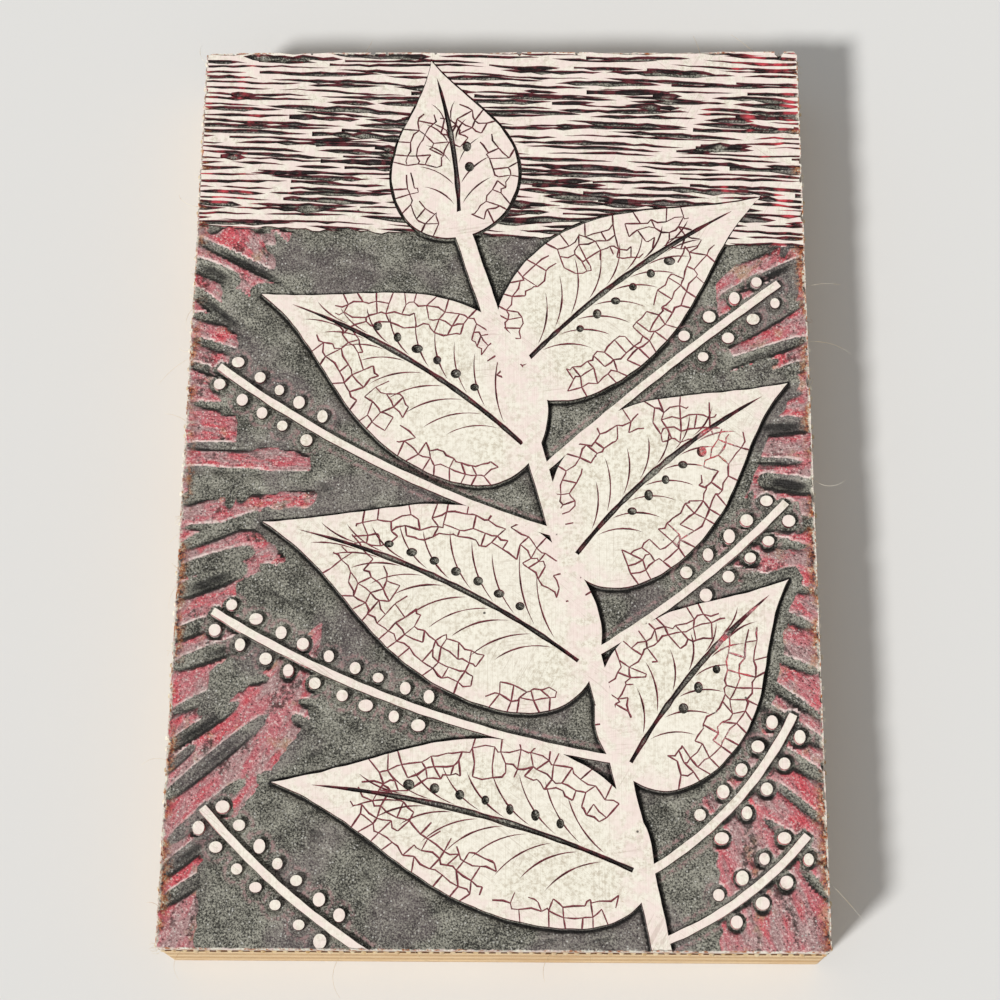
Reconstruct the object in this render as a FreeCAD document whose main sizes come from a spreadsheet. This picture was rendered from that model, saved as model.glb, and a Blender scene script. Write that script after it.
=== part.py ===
"""Letterpress printing block: a carved linoleum sheet on a plywood base, face up.

Frame: origin at the centre of the underside, +X to the right of the printing face,
+Y towards its head, +Z up to the face. All sizes are in millimetres.
"""

import FreeCAD, Part
import math
import os
from typing import NamedTuple

import Sketcher

Vector = FreeCAD.Vector
Constraint = Sketcher.Constraint

# Driving dimensions of the whole block, then of each layer, then of the carving
SIZES = {
    "block_width": 152.4,
    "block_length": 228.6,
    "type_height": 23.317,
    "corner_round": 1.2,
    "linoleum_thick": 3.25,
    "jute_thick": 0.9,
    "mounting_glue_thick": 0.12,
    "outer_veneer_thick": 1.05,
    "ply_glue_thick": 0.1,
    "clearing_depth": 1.5,
    "margin_depth": 0.6,
    "margin_reach": 18.0,
    "moat_width": 1.2,
    "leaf_length": 90.0,
    "leaf_width": 42.0,
    "midrib_width": 1.1,
    "midrib_inset": 3.3,
    "midrib_depth": 0.6,
    "stem_width": 4.2,
    "twig_width": 1.35,
    "berry_diameter": 2.5,
    "berry_pitch": 6.2,
    "berry_offset": 3.6,
    "hatch_height": 52.0,
    "hatch_pitch": 2.6,
    "hatch_groove_length": 62.0,
    "hatch_groove_width": 1.4,
    "hatch_groove_gap": 5.0,
    "hatch_depth": 0.8,
    "trim_overrun": 8.0,
}

# Inner plies of the base, from the underside up, between the two outer veneers
INNER_PLIES = ("crossband", "long_core", "centre_crossband", "long_core", "crossband")

# One edge of a leaf from foot to tip: share of its length, share of its width
LEAF_EDGE_SHARES = ((0.0, 0.0), (0.0, 0.3), (0.24, 0.6), (0.6, 0.48), (0.84, 0.1), (1.0, 0.0))



class Leaf(NamedTuple):
    """One leaf: its foot on the face, its heading, and its size and bend as shares."""

    foot_shares: tuple
    heading_degrees: float
    length_share: float
    width_share: float
    bend_share: float


# Leaves of the bough: feet as shares of the block's width and length, sizes as shares of
# the leaf length and leaf width, bends as shares of the leaf's own length
LEAF_SHARES = (
    Leaf((0.236, -0.429), 166.0, 1.00, 0.90, -0.05),
    Leaf((0.151, -0.219), 155.0, 0.97, 1.00, -0.06),
    Leaf((0.059, 0.017), 148.0, 0.89, 0.95, -0.06),
    Leaf((0.197, -0.324), 50.0, 0.68, 0.81, 0.05),
    Leaf((0.112, -0.105), 41.0, 0.79, 0.88, 0.06),
    Leaf((0.020, 0.105), 38.0, 0.88, 0.90, 0.05),
    Leaf((-0.066, 0.271), 99.0, 0.56, 0.72, -0.04),
)

# Stem as an arc: its start, middle and end as shares of the block's width and length
STEM_SHARES = ((0.262, -0.54), (0.105, -0.087), (-0.072, 0.30))

# Berry twigs as arcs, each with the share of its run where its berries begin
TWIG_SHARES = (
    ((0.19, -0.31), (-0.10, -0.262), (-0.44, -0.155), 0.42),
    ((0.095, -0.07), (-0.164, 0.0), (-0.45, 0.118), 0.66),
    ((0.151, -0.20), (0.289, -0.136), (0.455, -0.035), 0.45),
    ((0.072, 0.0), (0.23, 0.094), (0.455, 0.215), 0.6),
    ((0.225, -0.425), (0.341, -0.367), (0.455, -0.262), 0.3),
    ((0.255, -0.49), (0.354, -0.455), (0.47, -0.385), 0.3),
    ((-0.12, -0.53), (-0.29, -0.455), (-0.44, -0.36), 0.3),
)

# Shallow margins along the two long edges: middle of each as a share of the block's length,
# and its share of that length
MARGIN_SHARES = ((-1, -0.36, 0.26), (-1, -0.08, 0.22), (-1, 0.14, 0.2), (1, -0.42, 0.14), (1, -0.02, 0.18))

# Share of the turn between one hatch row's phase and the next
ROW_PHASE_SHARE = 0.382

# Slope of the hatch rows and of the field's lower edge, rise over run
HATCH_SLOPE = -0.04


doc = FreeCAD.newDocument("printing_block")
sheet = doc.addObject("Spreadsheet::Sheet", "sizes")
for row, (alias, number) in enumerate(SIZES.items(), start=1):
    sheet.set(f"A{row}", alias)
    sheet.set(f"B{row}", str(number))
    sheet.setAlias(f"B{row}", alias)
doc.recompute()


def size(alias):
    """Value of a driving dimension, read from the sheet."""
    return float(sheet.get(alias))


# Heights in the stack, as expressions on the sheet
PLY_COUNT = len(INNER_PLIES)
BASE_TOP = "(sizes.type_height - sizes.linoleum_thick - sizes.jute_thick - sizes.mounting_glue_thick)"
INNER_PLY = (
    f"(({BASE_TOP} - 2 * sizes.outer_veneer_thick - {PLY_COUNT + 1} * sizes.ply_glue_thick) / {PLY_COUNT})"
)

# Heights in the linoleum sheet, from its own underside
GROUND = "(sizes.linoleum_thick - sizes.clearing_depth)"
FACE = "sizes.linoleum_thick"


def new_body(label, height):
    """A body whose underside lies at the height that the expression gives."""
    body = doc.addObject("PartDesign::Body", label)
    body.Label = label
    body.setExpression("Placement.Base.z", height)
    return body


def new_sketch(body, name, height="0 mm"):
    """A sketch on the body's own XY plane, lifted by the expression."""
    plane = next(f for f in body.Origin.OriginFeatures if f.Role == "XY_Plane")
    sketch = body.newObject("Sketcher::SketchObject", name)
    sketch.AttachmentSupport = (plane, [""])
    sketch.MapMode = "FlatFace"
    sketch.setExpression("AttachmentOffset.Base.z", height)
    return sketch


def bind(sketch, constraint, name, expression):
    """Add a named constraint and bind it to the expression."""
    index = sketch.addConstraint(constraint)
    sketch.renameConstraint(index, name)
    sketch.setExpression(f"Constraints.{name}", expression)


def draw_block_outline(sketch):
    """Rounded rectangle of the block, centred on the origin and fully constrained."""
    half_width = size("block_width") / 2
    half_length = size("block_length") / 2
    radius = size("corner_round")
    corners = ((1, 1, 0), (-1, 1, 90), (-1, -1, 180), (1, -1, 270))
    arcs = []
    for side_x, side_y, start in corners:
        centre = Vector(side_x * (half_width - radius), side_y * (half_length - radius), 0)
        circle = Part.Circle(centre, Vector(0, 0, 1), radius)
        arc = Part.ArcOfCircle(circle, math.radians(start), math.radians(start + 90))
        arcs.append((sketch.addGeometry(arc, False), arc))
    for index, (arc_id, arc) in enumerate(arcs):
        next_id, next_arc = arcs[(index + 1) % len(arcs)]
        line_id = sketch.addGeometry(Part.LineSegment(arc.EndPoint, next_arc.StartPoint), False)
        sketch.addConstraint(Constraint("Tangent", arc_id, 2, line_id, 1))
        sketch.addConstraint(Constraint("Tangent", line_id, 2, next_id, 1))
        kind = "Horizontal" if index % 2 == 0 else "Vertical"
        sketch.addConstraint(Constraint(kind, line_id))
        if index:
            sketch.addConstraint(Constraint("Equal", arcs[0][0], arc_id))
    first, second, third = arcs[0][0], arcs[1][0], arcs[2][0]
    sketch.addConstraint(Constraint("Symmetric", first, 3, third, 3, -1, 1))
    across = Constraint("DistanceX", second, 3, first, 3, 2 * (half_width - radius))
    along = Constraint("DistanceY", third, 3, second, 3, 2 * (half_length - radius))
    bind(sketch, Constraint("Radius", first, radius), "corner", "sizes.corner_round")
    bind(sketch, across, "across", "sizes.block_width - 2 * sizes.corner_round")
    bind(sketch, along, "along", "sizes.block_length - 2 * sizes.corner_round")


def pad(body, sketch, name, height):
    """Raise the sketch by the height that the expression gives."""
    feature = body.newObject("PartDesign::Pad", name)
    feature.Profile = sketch
    feature.setExpression("Length", height)
    sketch.Visibility = False
    return feature


def pocket(body, sketch, name, depth):
    """Cut the sketch downwards by the depth that the expression gives."""
    feature = body.newObject("PartDesign::Pocket", name)
    feature.Profile = sketch
    feature.setExpression("Length", depth)
    sketch.Visibility = False
    return feature


def draw_polygon(sketch, corners):
    """Closed run of straight lines."""
    for index, corner in enumerate(corners):
        sketch.addGeometry(Part.LineSegment(corner, corners[(index + 1) % len(corners)]), False)


def make_layer(label, height, thick):
    """One plain layer of the stack, with the block's outline."""
    body = new_body(label, height)
    sketch = new_sketch(body, f"{label}_outline")
    draw_block_outline(sketch)
    pad(body, sketch, f"{label}_pad", thick)
    return body


def block_point(shares):
    """Point of the face, from shares of the block's width and length."""
    return Vector(shares[0] * size("block_width"), shares[1] * size("block_length"), 0)


def spline(poles):
    """Clamped cubic curve on the poles."""
    curve = Part.BSplineCurve()
    curve.buildFromPoles(poles)
    return curve


def heading_of(leaf):
    """Unit vector along a leaf, from its foot to its tip."""
    angle = math.radians(leaf.heading_degrees)
    return Vector(math.cos(angle), math.sin(angle), 0)


def leaf_edges(leaf, length, width, start=0.0):
    """The two edges of a leaf-shaped outline, which begins at this distance from the foot."""
    along = heading_of(leaf)
    across = Vector(-along.y, along.x, 0)
    foot = block_point(leaf.foot_shares) + along * start
    edges = []
    for side in (1, -1):
        poles = []
        for run, half in LEAF_EDGE_SHARES:
            sway = 4 * leaf.bend_share * run * (1 - run) * length
            poles.append(foot + along * (run * length) + across * (sway + side * half * width))
        edges.append(spline(poles))
    return edges


def draw_leaf(sketch, leaf, grown=0.0):
    """Outline of one leaf, grown by an even border where one is asked for."""
    length = size("leaf_length") * leaf.length_share + 2 * grown
    width = size("leaf_width") * leaf.width_share + 2 * grown
    sketch.addGeometry(leaf_edges(leaf, length, width, -grown), False)


def draw_midrib(sketch, leaf):
    """Slender groove down the middle of one leaf, pointed at both ends."""
    inset = size("midrib_inset")
    length = size("leaf_length") * leaf.length_share - 2 * inset
    sketch.addGeometry(leaf_edges(leaf, length, size("midrib_width"), inset), False)


class ArcRun:
    """Arc through three points, walked by share of its run."""

    def __init__(self, shares):
        start, middle, end = (block_point(point) for point in shares)
        self.curve = Part.Arc(start, middle, end)
        self.length = self.curve.length()

    def at(self, share, offset=0.0):
        """Point at a share of the run, moved square to it by the offset."""
        first, last = self.curve.FirstParameter, self.curve.LastParameter
        place = first + share * (last - first)
        heading = self.curve.tangent(place)[0]
        return self.curve.value(place) + Vector(-heading.y, heading.x, 0) * offset

    def draw_band(self, sketch, width):
        """Band of even width along the arc."""
        sides = []
        for side in (1, -1):
            sides.append([self.at(share, side * width / 2) for share in (0.0, 0.5, 1.0)])
        left, right = sides
        sketch.addGeometry(Part.Arc(*left), False)
        sketch.addGeometry(Part.LineSegment(left[2], right[2]), False)
        sketch.addGeometry(Part.Arc(*right), False)
        sketch.addGeometry(Part.LineSegment(right[0], left[0]), False)


def draw_berries(sketch, run, begins):
    """Two rows of berries along a twig, one each side, in step with each other."""
    count = int(run.length * (1 - begins) / size("berry_pitch"))
    circles = []
    for index in range(count):
        share = begins + (1 - begins) * (index + 0.5) / count
        for side in (1, -1):
            centre = run.at(share, side * size("berry_offset"))
            circle = Part.Circle(centre, Vector(0, 0, 1), size("berry_diameter") / 2)
            circles.append(sketch.addGeometry(circle, False))
    return circles


def on_slope(across, level=0.0):
    """Point at this distance across, on the field's lower edge or raised by the level."""
    low = size("block_length") / 2 - size("hatch_height")
    return Vector(across, low + level + HATCH_SLOPE * across, 0)


def reaches_field(leaf):
    """Whether a leaf's tip lies in the hatched field."""
    length = size("leaf_length") * leaf.length_share
    tip = block_point(leaf.foot_shares) + heading_of(leaf) * length
    return tip.y > on_slope(tip.x).y


def draw_below_field(sketch):
    """Everything foot-wards of the hatched field, whose lower edge slopes."""
    half_width = size("block_width") / 2 + size("trim_overrun")
    foot = -size("block_length") / 2 - size("trim_overrun")
    corners = (
        on_slope(-half_width),
        on_slope(half_width),
        Vector(half_width, foot, 0),
        Vector(-half_width, foot, 0),
    )
    draw_polygon(sketch, corners)


def draw_hatch_grooves(sketch):
    """Rows of long pointed grooves, each row out of step with the one below."""
    length = size("hatch_groove_length")
    step = length + size("hatch_groove_gap")
    half_width = size("block_width") / 2
    bulge = Vector(0, size("hatch_groove_width") / 2, 0)
    geometry = []
    for row in range(int(size("hatch_height") / size("hatch_pitch"))):
        level = (row + 0.5) * size("hatch_pitch")
        phase = (row * ROW_PHASE_SHARE) % 1.0
        begin = -half_width - phase * step
        while begin < half_width:
            left = on_slope(begin, level)
            right = on_slope(begin + length, level)
            middle = (left + right) * 0.5
            geometry.append(Part.Arc(left, middle + bulge, right))
            geometry.append(Part.Arc(left, middle - bulge, right))
            begin += step
    sketch.addGeometry(geometry, False)


def draw_margin(sketch, side, middle_share, length_share):
    """Bay of shallow ground: a straight run of one long edge and an arc that reaches in from it."""
    length = size("block_length")
    edge = side * size("block_width") / 2
    low = Vector(edge, (middle_share - length_share / 2) * length, 0)
    high = Vector(edge, (middle_share + length_share / 2) * length, 0)
    inmost = Vector(edge - side * size("margin_reach"), middle_share * length, 0)
    sketch.addGeometry(Part.Arc(low, inmost, high), False)
    sketch.addGeometry(Part.LineSegment(high, low), False)


def draw_trim(sketch):
    """Everything around the block: its outline inside a rectangle that stands clear of it."""
    draw_block_outline(sketch)
    half_width = size("block_width") / 2 + 2 * size("trim_overrun")
    half_length = size("block_length") / 2 + 2 * size("trim_overrun")
    signs = ((-1, -1), (1, -1), (1, 1), (-1, 1))
    draw_polygon(sketch, [Vector(x * half_width, y * half_length, 0) for x, y in signs])


def make_hatched_field():
    """The field of long fine grooves, cut clear of the leaves that reach into it.

    It is joined to the sheet's body, so its own height counts from that body's underside.
    """
    body = new_body("hatched_field", "0 mm")
    sketch = new_sketch(body, "field_outline", GROUND)
    draw_block_outline(sketch)
    pad(body, sketch, "field", "sizes.clearing_depth")
    sketch = new_sketch(body, "below_field_outline", FACE)
    draw_below_field(sketch)
    pocket(body, sketch, "below_field", "sizes.clearing_depth")
    sketch = new_sketch(body, "hatch_groove_outlines", FACE)
    draw_hatch_grooves(sketch)
    pocket(body, sketch, "hatch_grooves", "sizes.hatch_depth")
    for number, leaf in enumerate(filter(reaches_field, LEAF_SHARES), start=1):
        sketch = new_sketch(body, f"moat_{number}_outline", FACE)
        draw_leaf(sketch, leaf, size("moat_width"))
        pocket(body, sketch, f"moat_{number}", "sizes.clearing_depth")
    return body


def make_linoleum(label, height):
    """The carved sheet: cleared ground, then the bough and the hatched field in relief."""
    body = new_body(label, height)
    sketch = new_sketch(body, "ground_outline")
    draw_block_outline(sketch)
    pad(body, sketch, "ground", GROUND)

    sketch = new_sketch(body, "margin_outlines", GROUND)
    for side, middle_share, length_share in MARGIN_SHARES:
        draw_margin(sketch, side, middle_share, length_share)
    pad(body, sketch, "margins", "sizes.clearing_depth - sizes.margin_depth")

    sketch = new_sketch(body, "stem_outline", GROUND)
    ArcRun(STEM_SHARES).draw_band(sketch, size("stem_width"))
    pad(body, sketch, "stem", "sizes.clearing_depth")
    for number, leaf in enumerate(LEAF_SHARES, start=1):
        sketch = new_sketch(body, f"leaf_{number}_outline", GROUND)
        draw_leaf(sketch, leaf)
        pad(body, sketch, f"leaf_{number}", "sizes.clearing_depth")

    sketch = new_sketch(body, "twig_outlines", GROUND)
    for *points, begins in TWIG_SHARES:
        ArcRun(points).draw_band(sketch, size("twig_width"))
    pad(body, sketch, "twigs", "sizes.clearing_depth")
    sketch = new_sketch(body, "trim_outline", FACE)
    draw_trim(sketch)
    pocket(body, sketch, "trim", FACE)

    sketch = new_sketch(body, "midrib_outlines", FACE)
    for leaf in LEAF_SHARES:
        draw_midrib(sketch, leaf)
    pocket(body, sketch, "midribs", "sizes.midrib_depth")

    sketch = new_sketch(body, "berry_outlines", GROUND)
    berries = []
    for *points, begins in TWIG_SHARES:
        berries += draw_berries(sketch, ArcRun(points), begins)
    for berry in berries[1:]:
        sketch.addConstraint(Constraint("Equal", berries[0], berry))
    radius = Constraint("Radius", berries[0], size("berry_diameter") / 2)
    bind(sketch, radius, "berry", "sizes.berry_diameter / 2")
    pad(body, sketch, "berries", "sizes.clearing_depth")

    joined = body.newObject("PartDesign::Boolean", "bough_and_field")
    joined.Type = "Fuse"
    joined.setObjects([make_hatched_field()])
    return body


def make_stack():
    """Every layer from the underside up, each resting on the one below."""
    layers = [make_layer("ply_1_back_veneer", "0 mm", "sizes.outer_veneer_thick")]
    level = "sizes.outer_veneer_thick"
    for number, name in enumerate(INNER_PLIES, start=1):
        layers.append(make_layer(f"glue_line_{number}", level, "sizes.ply_glue_thick"))
        level = f"{level} + sizes.ply_glue_thick"
        layers.append(make_layer(f"ply_{number + 1}_{name}", level, INNER_PLY))
        level = f"{level} + {INNER_PLY}"
    layers.append(make_layer(f"glue_line_{PLY_COUNT + 1}", level, "sizes.ply_glue_thick"))
    level = f"{level} + sizes.ply_glue_thick"
    layers.append(make_layer(f"ply_{PLY_COUNT + 2}_top_veneer", level, "sizes.outer_veneer_thick"))
    layers.append(make_layer("mounting_glue", BASE_TOP, "sizes.mounting_glue_thick"))
    level = f"{BASE_TOP} + sizes.mounting_glue_thick"
    layers.append(make_layer("jute_backing", level, "sizes.jute_thick"))
    layers.append(make_linoleum("linoleum_sheet", "sizes.type_height - sizes.linoleum_thick"))
    return layers


def check(layers):
    """Stop on any failed object, idle pocket or bad solid before a file is written."""
    for item in doc.Objects:
        for state in item.State:
            if state in ("Invalid", "Error"):
                raise RuntimeError(f"{item.Label} is {state}")
        if item.TypeId == "PartDesign::Pocket" and item.Shape.Volume >= item.BaseFeature.Shape.Volume:
            raise RuntimeError(f"{item.Label} cuts nothing")
    for layer in layers:
        shape = layer.Shape
        if shape.isNull() or not shape.isValid() or len(shape.Solids) != 1:
            raise RuntimeError(f"{layer.Label} is not one valid solid")


def write(layers):
    """One file for each piece, named after it."""
    os.makedirs("parts", exist_ok=True)
    for layer in layers:
        layer.Shape.exportStep(f"parts/{layer.Label}.step")
        box = layer.Shape.BoundBox
        print(f"{layer.Label}: z {box.ZMin:.3f} to {box.ZMax:.3f}, volume {layer.Shape.Volume:.1f}")


stack = make_stack()
doc.recompute()
check(stack)
write(stack)
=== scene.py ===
"""Looks of a letterpress printing block: carved linoleum on jute, glued to a plywood base.

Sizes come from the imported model's boxes. The carved design repeats the shares that the
solids are made with. Lengths are in metres, written as multiples of MM.
"""

import logging
import math
import random
from dataclasses import dataclass, field
from enum import Enum
from typing import Callable, Iterable, NamedTuple, Sequence

import bmesh
import bpy
import numpy as np
from mathutils import Matrix, Vector, kdtree, noise


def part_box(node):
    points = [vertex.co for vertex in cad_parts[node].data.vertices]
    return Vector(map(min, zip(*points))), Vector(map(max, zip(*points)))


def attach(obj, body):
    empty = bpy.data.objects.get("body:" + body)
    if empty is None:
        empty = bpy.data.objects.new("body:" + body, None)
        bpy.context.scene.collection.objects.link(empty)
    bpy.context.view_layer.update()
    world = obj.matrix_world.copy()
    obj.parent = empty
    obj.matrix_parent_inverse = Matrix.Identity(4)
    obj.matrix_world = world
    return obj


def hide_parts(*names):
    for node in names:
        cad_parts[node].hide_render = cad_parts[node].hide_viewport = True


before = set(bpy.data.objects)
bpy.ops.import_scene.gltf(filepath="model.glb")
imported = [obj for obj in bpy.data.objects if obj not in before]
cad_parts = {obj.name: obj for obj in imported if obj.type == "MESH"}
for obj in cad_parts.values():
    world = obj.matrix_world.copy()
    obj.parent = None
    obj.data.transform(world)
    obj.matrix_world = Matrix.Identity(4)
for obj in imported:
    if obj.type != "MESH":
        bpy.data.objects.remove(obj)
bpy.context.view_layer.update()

MM = 0.001
UP = Vector((0.0, 0.0, 1.0))
LOG = logging.getLogger("printing_block")

# Carving sizes: depths, leaves, stem and berry places have the solids' values
CLEARING_DEPTH = 1.5 * MM
MARGIN_DEPTH = 0.6 * MM
MOAT_WIDTH = 1.0 * MM
LEAF_LENGTH = 90.0 * MM
LEAF_WIDTH = 42.0 * MM
STEM_WIDTH = 4.2 * MM
TWIG_WIDTH = 1.8 * MM
BERRY_DIAMETER = 2.75 * MM
BERRY_PITCH = 6.2 * MM
BERRY_OFFSET = 3.6 * MM
HATCH_HEIGHT = 52.0 * MM
CORNER_ROUND = 1.2 * MM

# Radius at which the margins' spokes are counted in millimetres
SPOKE_RADIUS = 80 * MM
SPOKE_RADIUS_IN_INK = 78.0

# Size of the faces that a flat top is divided into before it is cut
TILE = 4.0 * MM

# Height of a cutter's widest part above the face that it cuts
CUTTER_LIFT = 0.016 * MM

# Slope of the hatched field's lower edge and rows, rise over run
HATCH_SLOPE = -0.04

# One edge of a leaf from foot to tip: share of its length, share of its width
LEAF_EDGE_SHARES = ((0.0, 0.0), (0.0, 0.3), (0.24, 0.6), (0.6, 0.48), (0.84, 0.1), (1.0, 0.0))

# Stem as an arc: its start, middle and end as shares of the block's width and length
STEM_SHARES = ((0.262, -0.54), (0.105, -0.087), (-0.072, 0.30))

# Larger chips: share across, share along, and size in millimetres
CHIP_SHARES = (
    (-0.5, 0.235, 1.9),
    (-0.5, 0.21, 1.4),
    (-0.5, -0.05, 1.2),
    (-0.5, -0.19, 1.1),
    (0.5, 0.49, 1.8),
    (0.47, 0.5, 1.2),
    (0.5, -0.12, 1.1),
    (-0.5, -0.497, 1.3),
    (0.5, 0.18, 1.0),
)


class Tint(Enum):
    """Named colours: red, green and blue from 0 to 255."""

    CREAM = (251, 246, 229)
    CREAM_SHADE = (212, 202, 182)
    CREAM_LIGHT = (251, 244, 229)
    PINK_WHITE = (248, 228, 220)
    RED = (218, 78, 88)
    ROSE = (206, 118, 124)
    MAUVE = (184, 146, 144)
    OCHRE = (196, 166, 126)
    MAROON = (98, 36, 43)
    WINE = (152, 78, 86)
    BURNT = (138, 62, 36)
    DARK_BROWN = (26, 16, 15)
    GRIT_DARK = (42, 41, 35)
    GRIT_PALE = (180, 177, 162)
    GRIT_MAUVE = (122, 106, 110)
    GLINT = (214, 212, 204)
    # Black: ink, and also painted shade in the deepest cuts, on walls turned from the light and in the holes
    # between edge crumbs
    BLACK_INK_AND_SHADE = (24, 22, 21)
    RUST = (190, 112, 58)
    JUTE = (190, 152, 98)
    JUTE_DARK = (120, 84, 46)
    JUTE_PALE = (222, 200, 158)
    GLUE = (98, 62, 34)
    WOOD_DARK = (198, 156, 106)
    END_GRAIN = (164, 118, 74)
    WOOD_PALE = (238, 214, 172)
    FLOOR = (226, 225, 222)

    @property
    def linear(self) -> tuple[float, float, float, float]:
        """The colour in the renderer's own units.

        Returns:
            Red, green, blue and alpha, each from 0 to 1.
        """
        channels = []
        for share in (byte / 255 for byte in self.value):
            channels.append(share / 12.92 if share <= 0.04045 else ((share + 0.055) / 1.055) ** 2.4)
        return (*channels, 1.0)


class Section(Enum):
    """Section of a swept shape, as the curve's bevel resolution."""

    VEE = 0
    THREAD = 1
    ROUND = 2


class Merge(Enum):
    """How a tool mesh is combined with a piece."""

    ADD = "UNION"
    CUT = "DIFFERENCE"
    KEEP = "INTERSECT"


class Ends(Enum):
    """How a stroke starts and ends."""

    POINTED = 0
    BLUNT_START = 1
    BLUNT = 2


@dataclass(frozen=True)
class BlockFrame:
    """Outer sizes and heights of the block's layers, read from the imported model."""

    width: float
    length: float
    face: float
    sheet_low: float
    jute_low: float
    base_top: float

    @classmethod
    def read(cls) -> "BlockFrame":
        """Measure the layers at rest.

        Returns:
            The block's sizes.
        """
        low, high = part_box("linoleum_sheet")
        size = high - low
        jute_low, glue_low = (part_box(name)[0].z for name in ("jute_backing", "mounting_glue"))
        return cls(size.x, size.y, high.z, low.z, jute_low, glue_low)

    @property
    def half_width(self) -> float:
        """Half of the block's width."""
        return self.width / 2

    @property
    def half_length(self) -> float:
        """Half of the block's length."""
        return self.length / 2

    @property
    def jute_level(self) -> float:
        """Height of the middle of the jute."""
        return (self.sheet_low + self.jute_low) / 2

    def place(self, shares: Sequence[float]) -> Vector:
        """Turn shares of the width and length into a point on the printing face."""
        return Vector((shares[0] * self.width, shares[1] * self.length, self.face))

    def field_edge(self, across: float) -> float:
        """Distance along the face, from its middle, of the hatched field's lower edge."""
        return self.half_length - HATCH_HEIGHT + HATCH_SLOPE * across


BLOCK = BlockFrame.read()


def new_piece(name: str, mesh: bpy.types.Mesh) -> bpy.types.Object:
    """Link a mesh into the scene as an object at the origin.

    Args:
        name: The object's name.
        mesh: Its mesh, in the row frame.

    Returns:
        The new object.
    """
    piece = bpy.data.objects.new(name, mesh)
    bpy.context.scene.collection.objects.link(piece)
    return piece


def mesh_from(bm: bmesh.types.BMesh, name: str) -> bpy.types.Mesh:
    """Close a bmesh into a mesh with its faces turned outwards.

    Args:
        bm: The bmesh, which is freed.
        name: The mesh's name.

    Returns:
        The mesh.
    """
    bmesh.ops.recalc_face_normals(bm, faces=bm.faces)
    mesh = bpy.data.meshes.new(name)
    bm.to_mesh(mesh)
    bm.free()
    return mesh


def bmesh_of(curve: bpy.types.Curve) -> bmesh.types.BMesh:
    """Turn a curve into a bmesh.

    Args:
        curve: The curve, which is removed.

    Returns:
        The bmesh.
    """
    holder = bpy.data.objects.new("curve", curve)
    mesh = bpy.data.meshes.new_from_object(holder)
    bm = bmesh.new()
    bm.from_mesh(mesh)
    bpy.data.objects.remove(holder)
    bpy.data.curves.remove(curve)
    bpy.data.meshes.remove(mesh)
    return bm


def sweep(
    routes: Iterable[tuple[Sequence[Vector], Sequence[float]]],
    section: Section,
    upright: bool,
    closed: bool = False,
) -> bmesh.types.BMesh:
    """Sweep a section along routes.

    Args:
        routes: Each route's points and its radius at each point.
        section: The section.
        upright: Whether the section keeps its top up, or turns as little as it can.
        closed: Whether each route ends where it starts.

    Returns:
        One bmesh of all the swept shapes.
    """
    curve = bpy.data.curves.new("sweep", "CURVE")
    curve.dimensions = "3D"
    curve.twist_mode = "Z_UP" if upright else "MINIMUM"
    curve.bevel_depth = 1.0
    curve.bevel_resolution = section.value
    curve.use_fill_caps = True
    for route, radii in routes:
        spline = curve.splines.new("POLY")
        spline.points.add(len(route) - 1)
        spline.use_cyclic_u = closed
        for point, place, radius in zip(spline.points, route, radii):
            point.co = (*place, 1.0)
            point.radius = radius
    return bmesh_of(curve)


def is_closed(mesh: bpy.types.Mesh) -> bool:
    """Tell whether each edge of a mesh has two faces.

    Args:
        mesh: The mesh.

    Returns:
        True where the mesh is closed.
    """
    edges = np.empty(len(mesh.loops), dtype=np.int32)
    mesh.loops.foreach_get("edge_index", edges)
    return bool(np.all(np.bincount(edges, minlength=len(mesh.edges)) == 2))


def combine(piece: bpy.types.Object, tool: bpy.types.Mesh, merge: Merge) -> None:
    """Combine a closed tool mesh with a piece, and keep the result as the piece's mesh.

    Where the result isn't closed, the tool is moved by a hair's breadth and used again.

    Args:
        piece: The object whose mesh changes.
        tool: The closed mesh, which is removed.
        merge: How the two are combined.
    """
    holder = new_piece("tool", tool)
    modifier = piece.modifiers.new("merge", "BOOLEAN")
    modifier.operation = merge.value
    modifier.solver = "MANIFOLD"
    modifier.object = holder
    for attempt in range(4):
        holder.location = Vector((0.0011, 0.0017, 0.0)) * (attempt * MM)
        graph = bpy.context.evaluated_depsgraph_get()
        made = bpy.data.meshes.new_from_object(piece.evaluated_get(graph))
        if is_closed(made):
            break
        LOG.info("%s: %s left an open edge on attempt %d", piece.name, tool.name, attempt)
    piece.modifiers.remove(modifier)
    used, piece.data = piece.data, made
    bpy.data.objects.remove(holder)
    bpy.data.meshes.remove(tool)
    bpy.data.meshes.remove(used)


def spline_points(poles: Sequence[Vector]) -> list[Vector]:
    """Follow a clamped cubic curve through space.

    Args:
        poles: The curve's control points.

    Returns:
        Points along the curve.
    """
    curve = bpy.data.curves.new("route", "CURVE")
    curve.dimensions = "3D"
    spline = curve.splines.new("NURBS")
    spline.points.add(len(poles) - 1)
    for point, pole in zip(spline.points, poles):
        point.co = (*pole, 1.0)
    spline.order_u = 4
    spline.use_endpoint_u = True
    spline.resolution_u = 12
    bm = bmesh_of(curve)
    points = [vert.co.copy() for vert in bm.verts]
    bm.free()
    return points


def arc_points(start: Vector, middle: Vector, end: Vector, count: int) -> list[Vector]:
    """Follow the arc through three points of the printing face.

    Args:
        start: The arc's first point.
        middle: A point on the way.
        end: The arc's last point.
        count: Number of points to give.

    Returns:
        Points along the arc, evenly spaced.
    """
    a, b = middle - start, end - start
    turn = 2 * (a.x * b.y - a.y * b.x)
    across = (b.y * a.length_squared - a.y * b.length_squared) / turn
    along = (a.x * b.length_squared - b.x * a.length_squared) / turn
    centre = start + Vector((across, along, 0.0))
    arm = start - centre
    swing = arm.to_2d().angle_signed((end - centre).to_2d())
    return [centre + Matrix.Rotation(-swing * i / (count - 1), 3, "Z") @ arm for i in range(count)]


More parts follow.
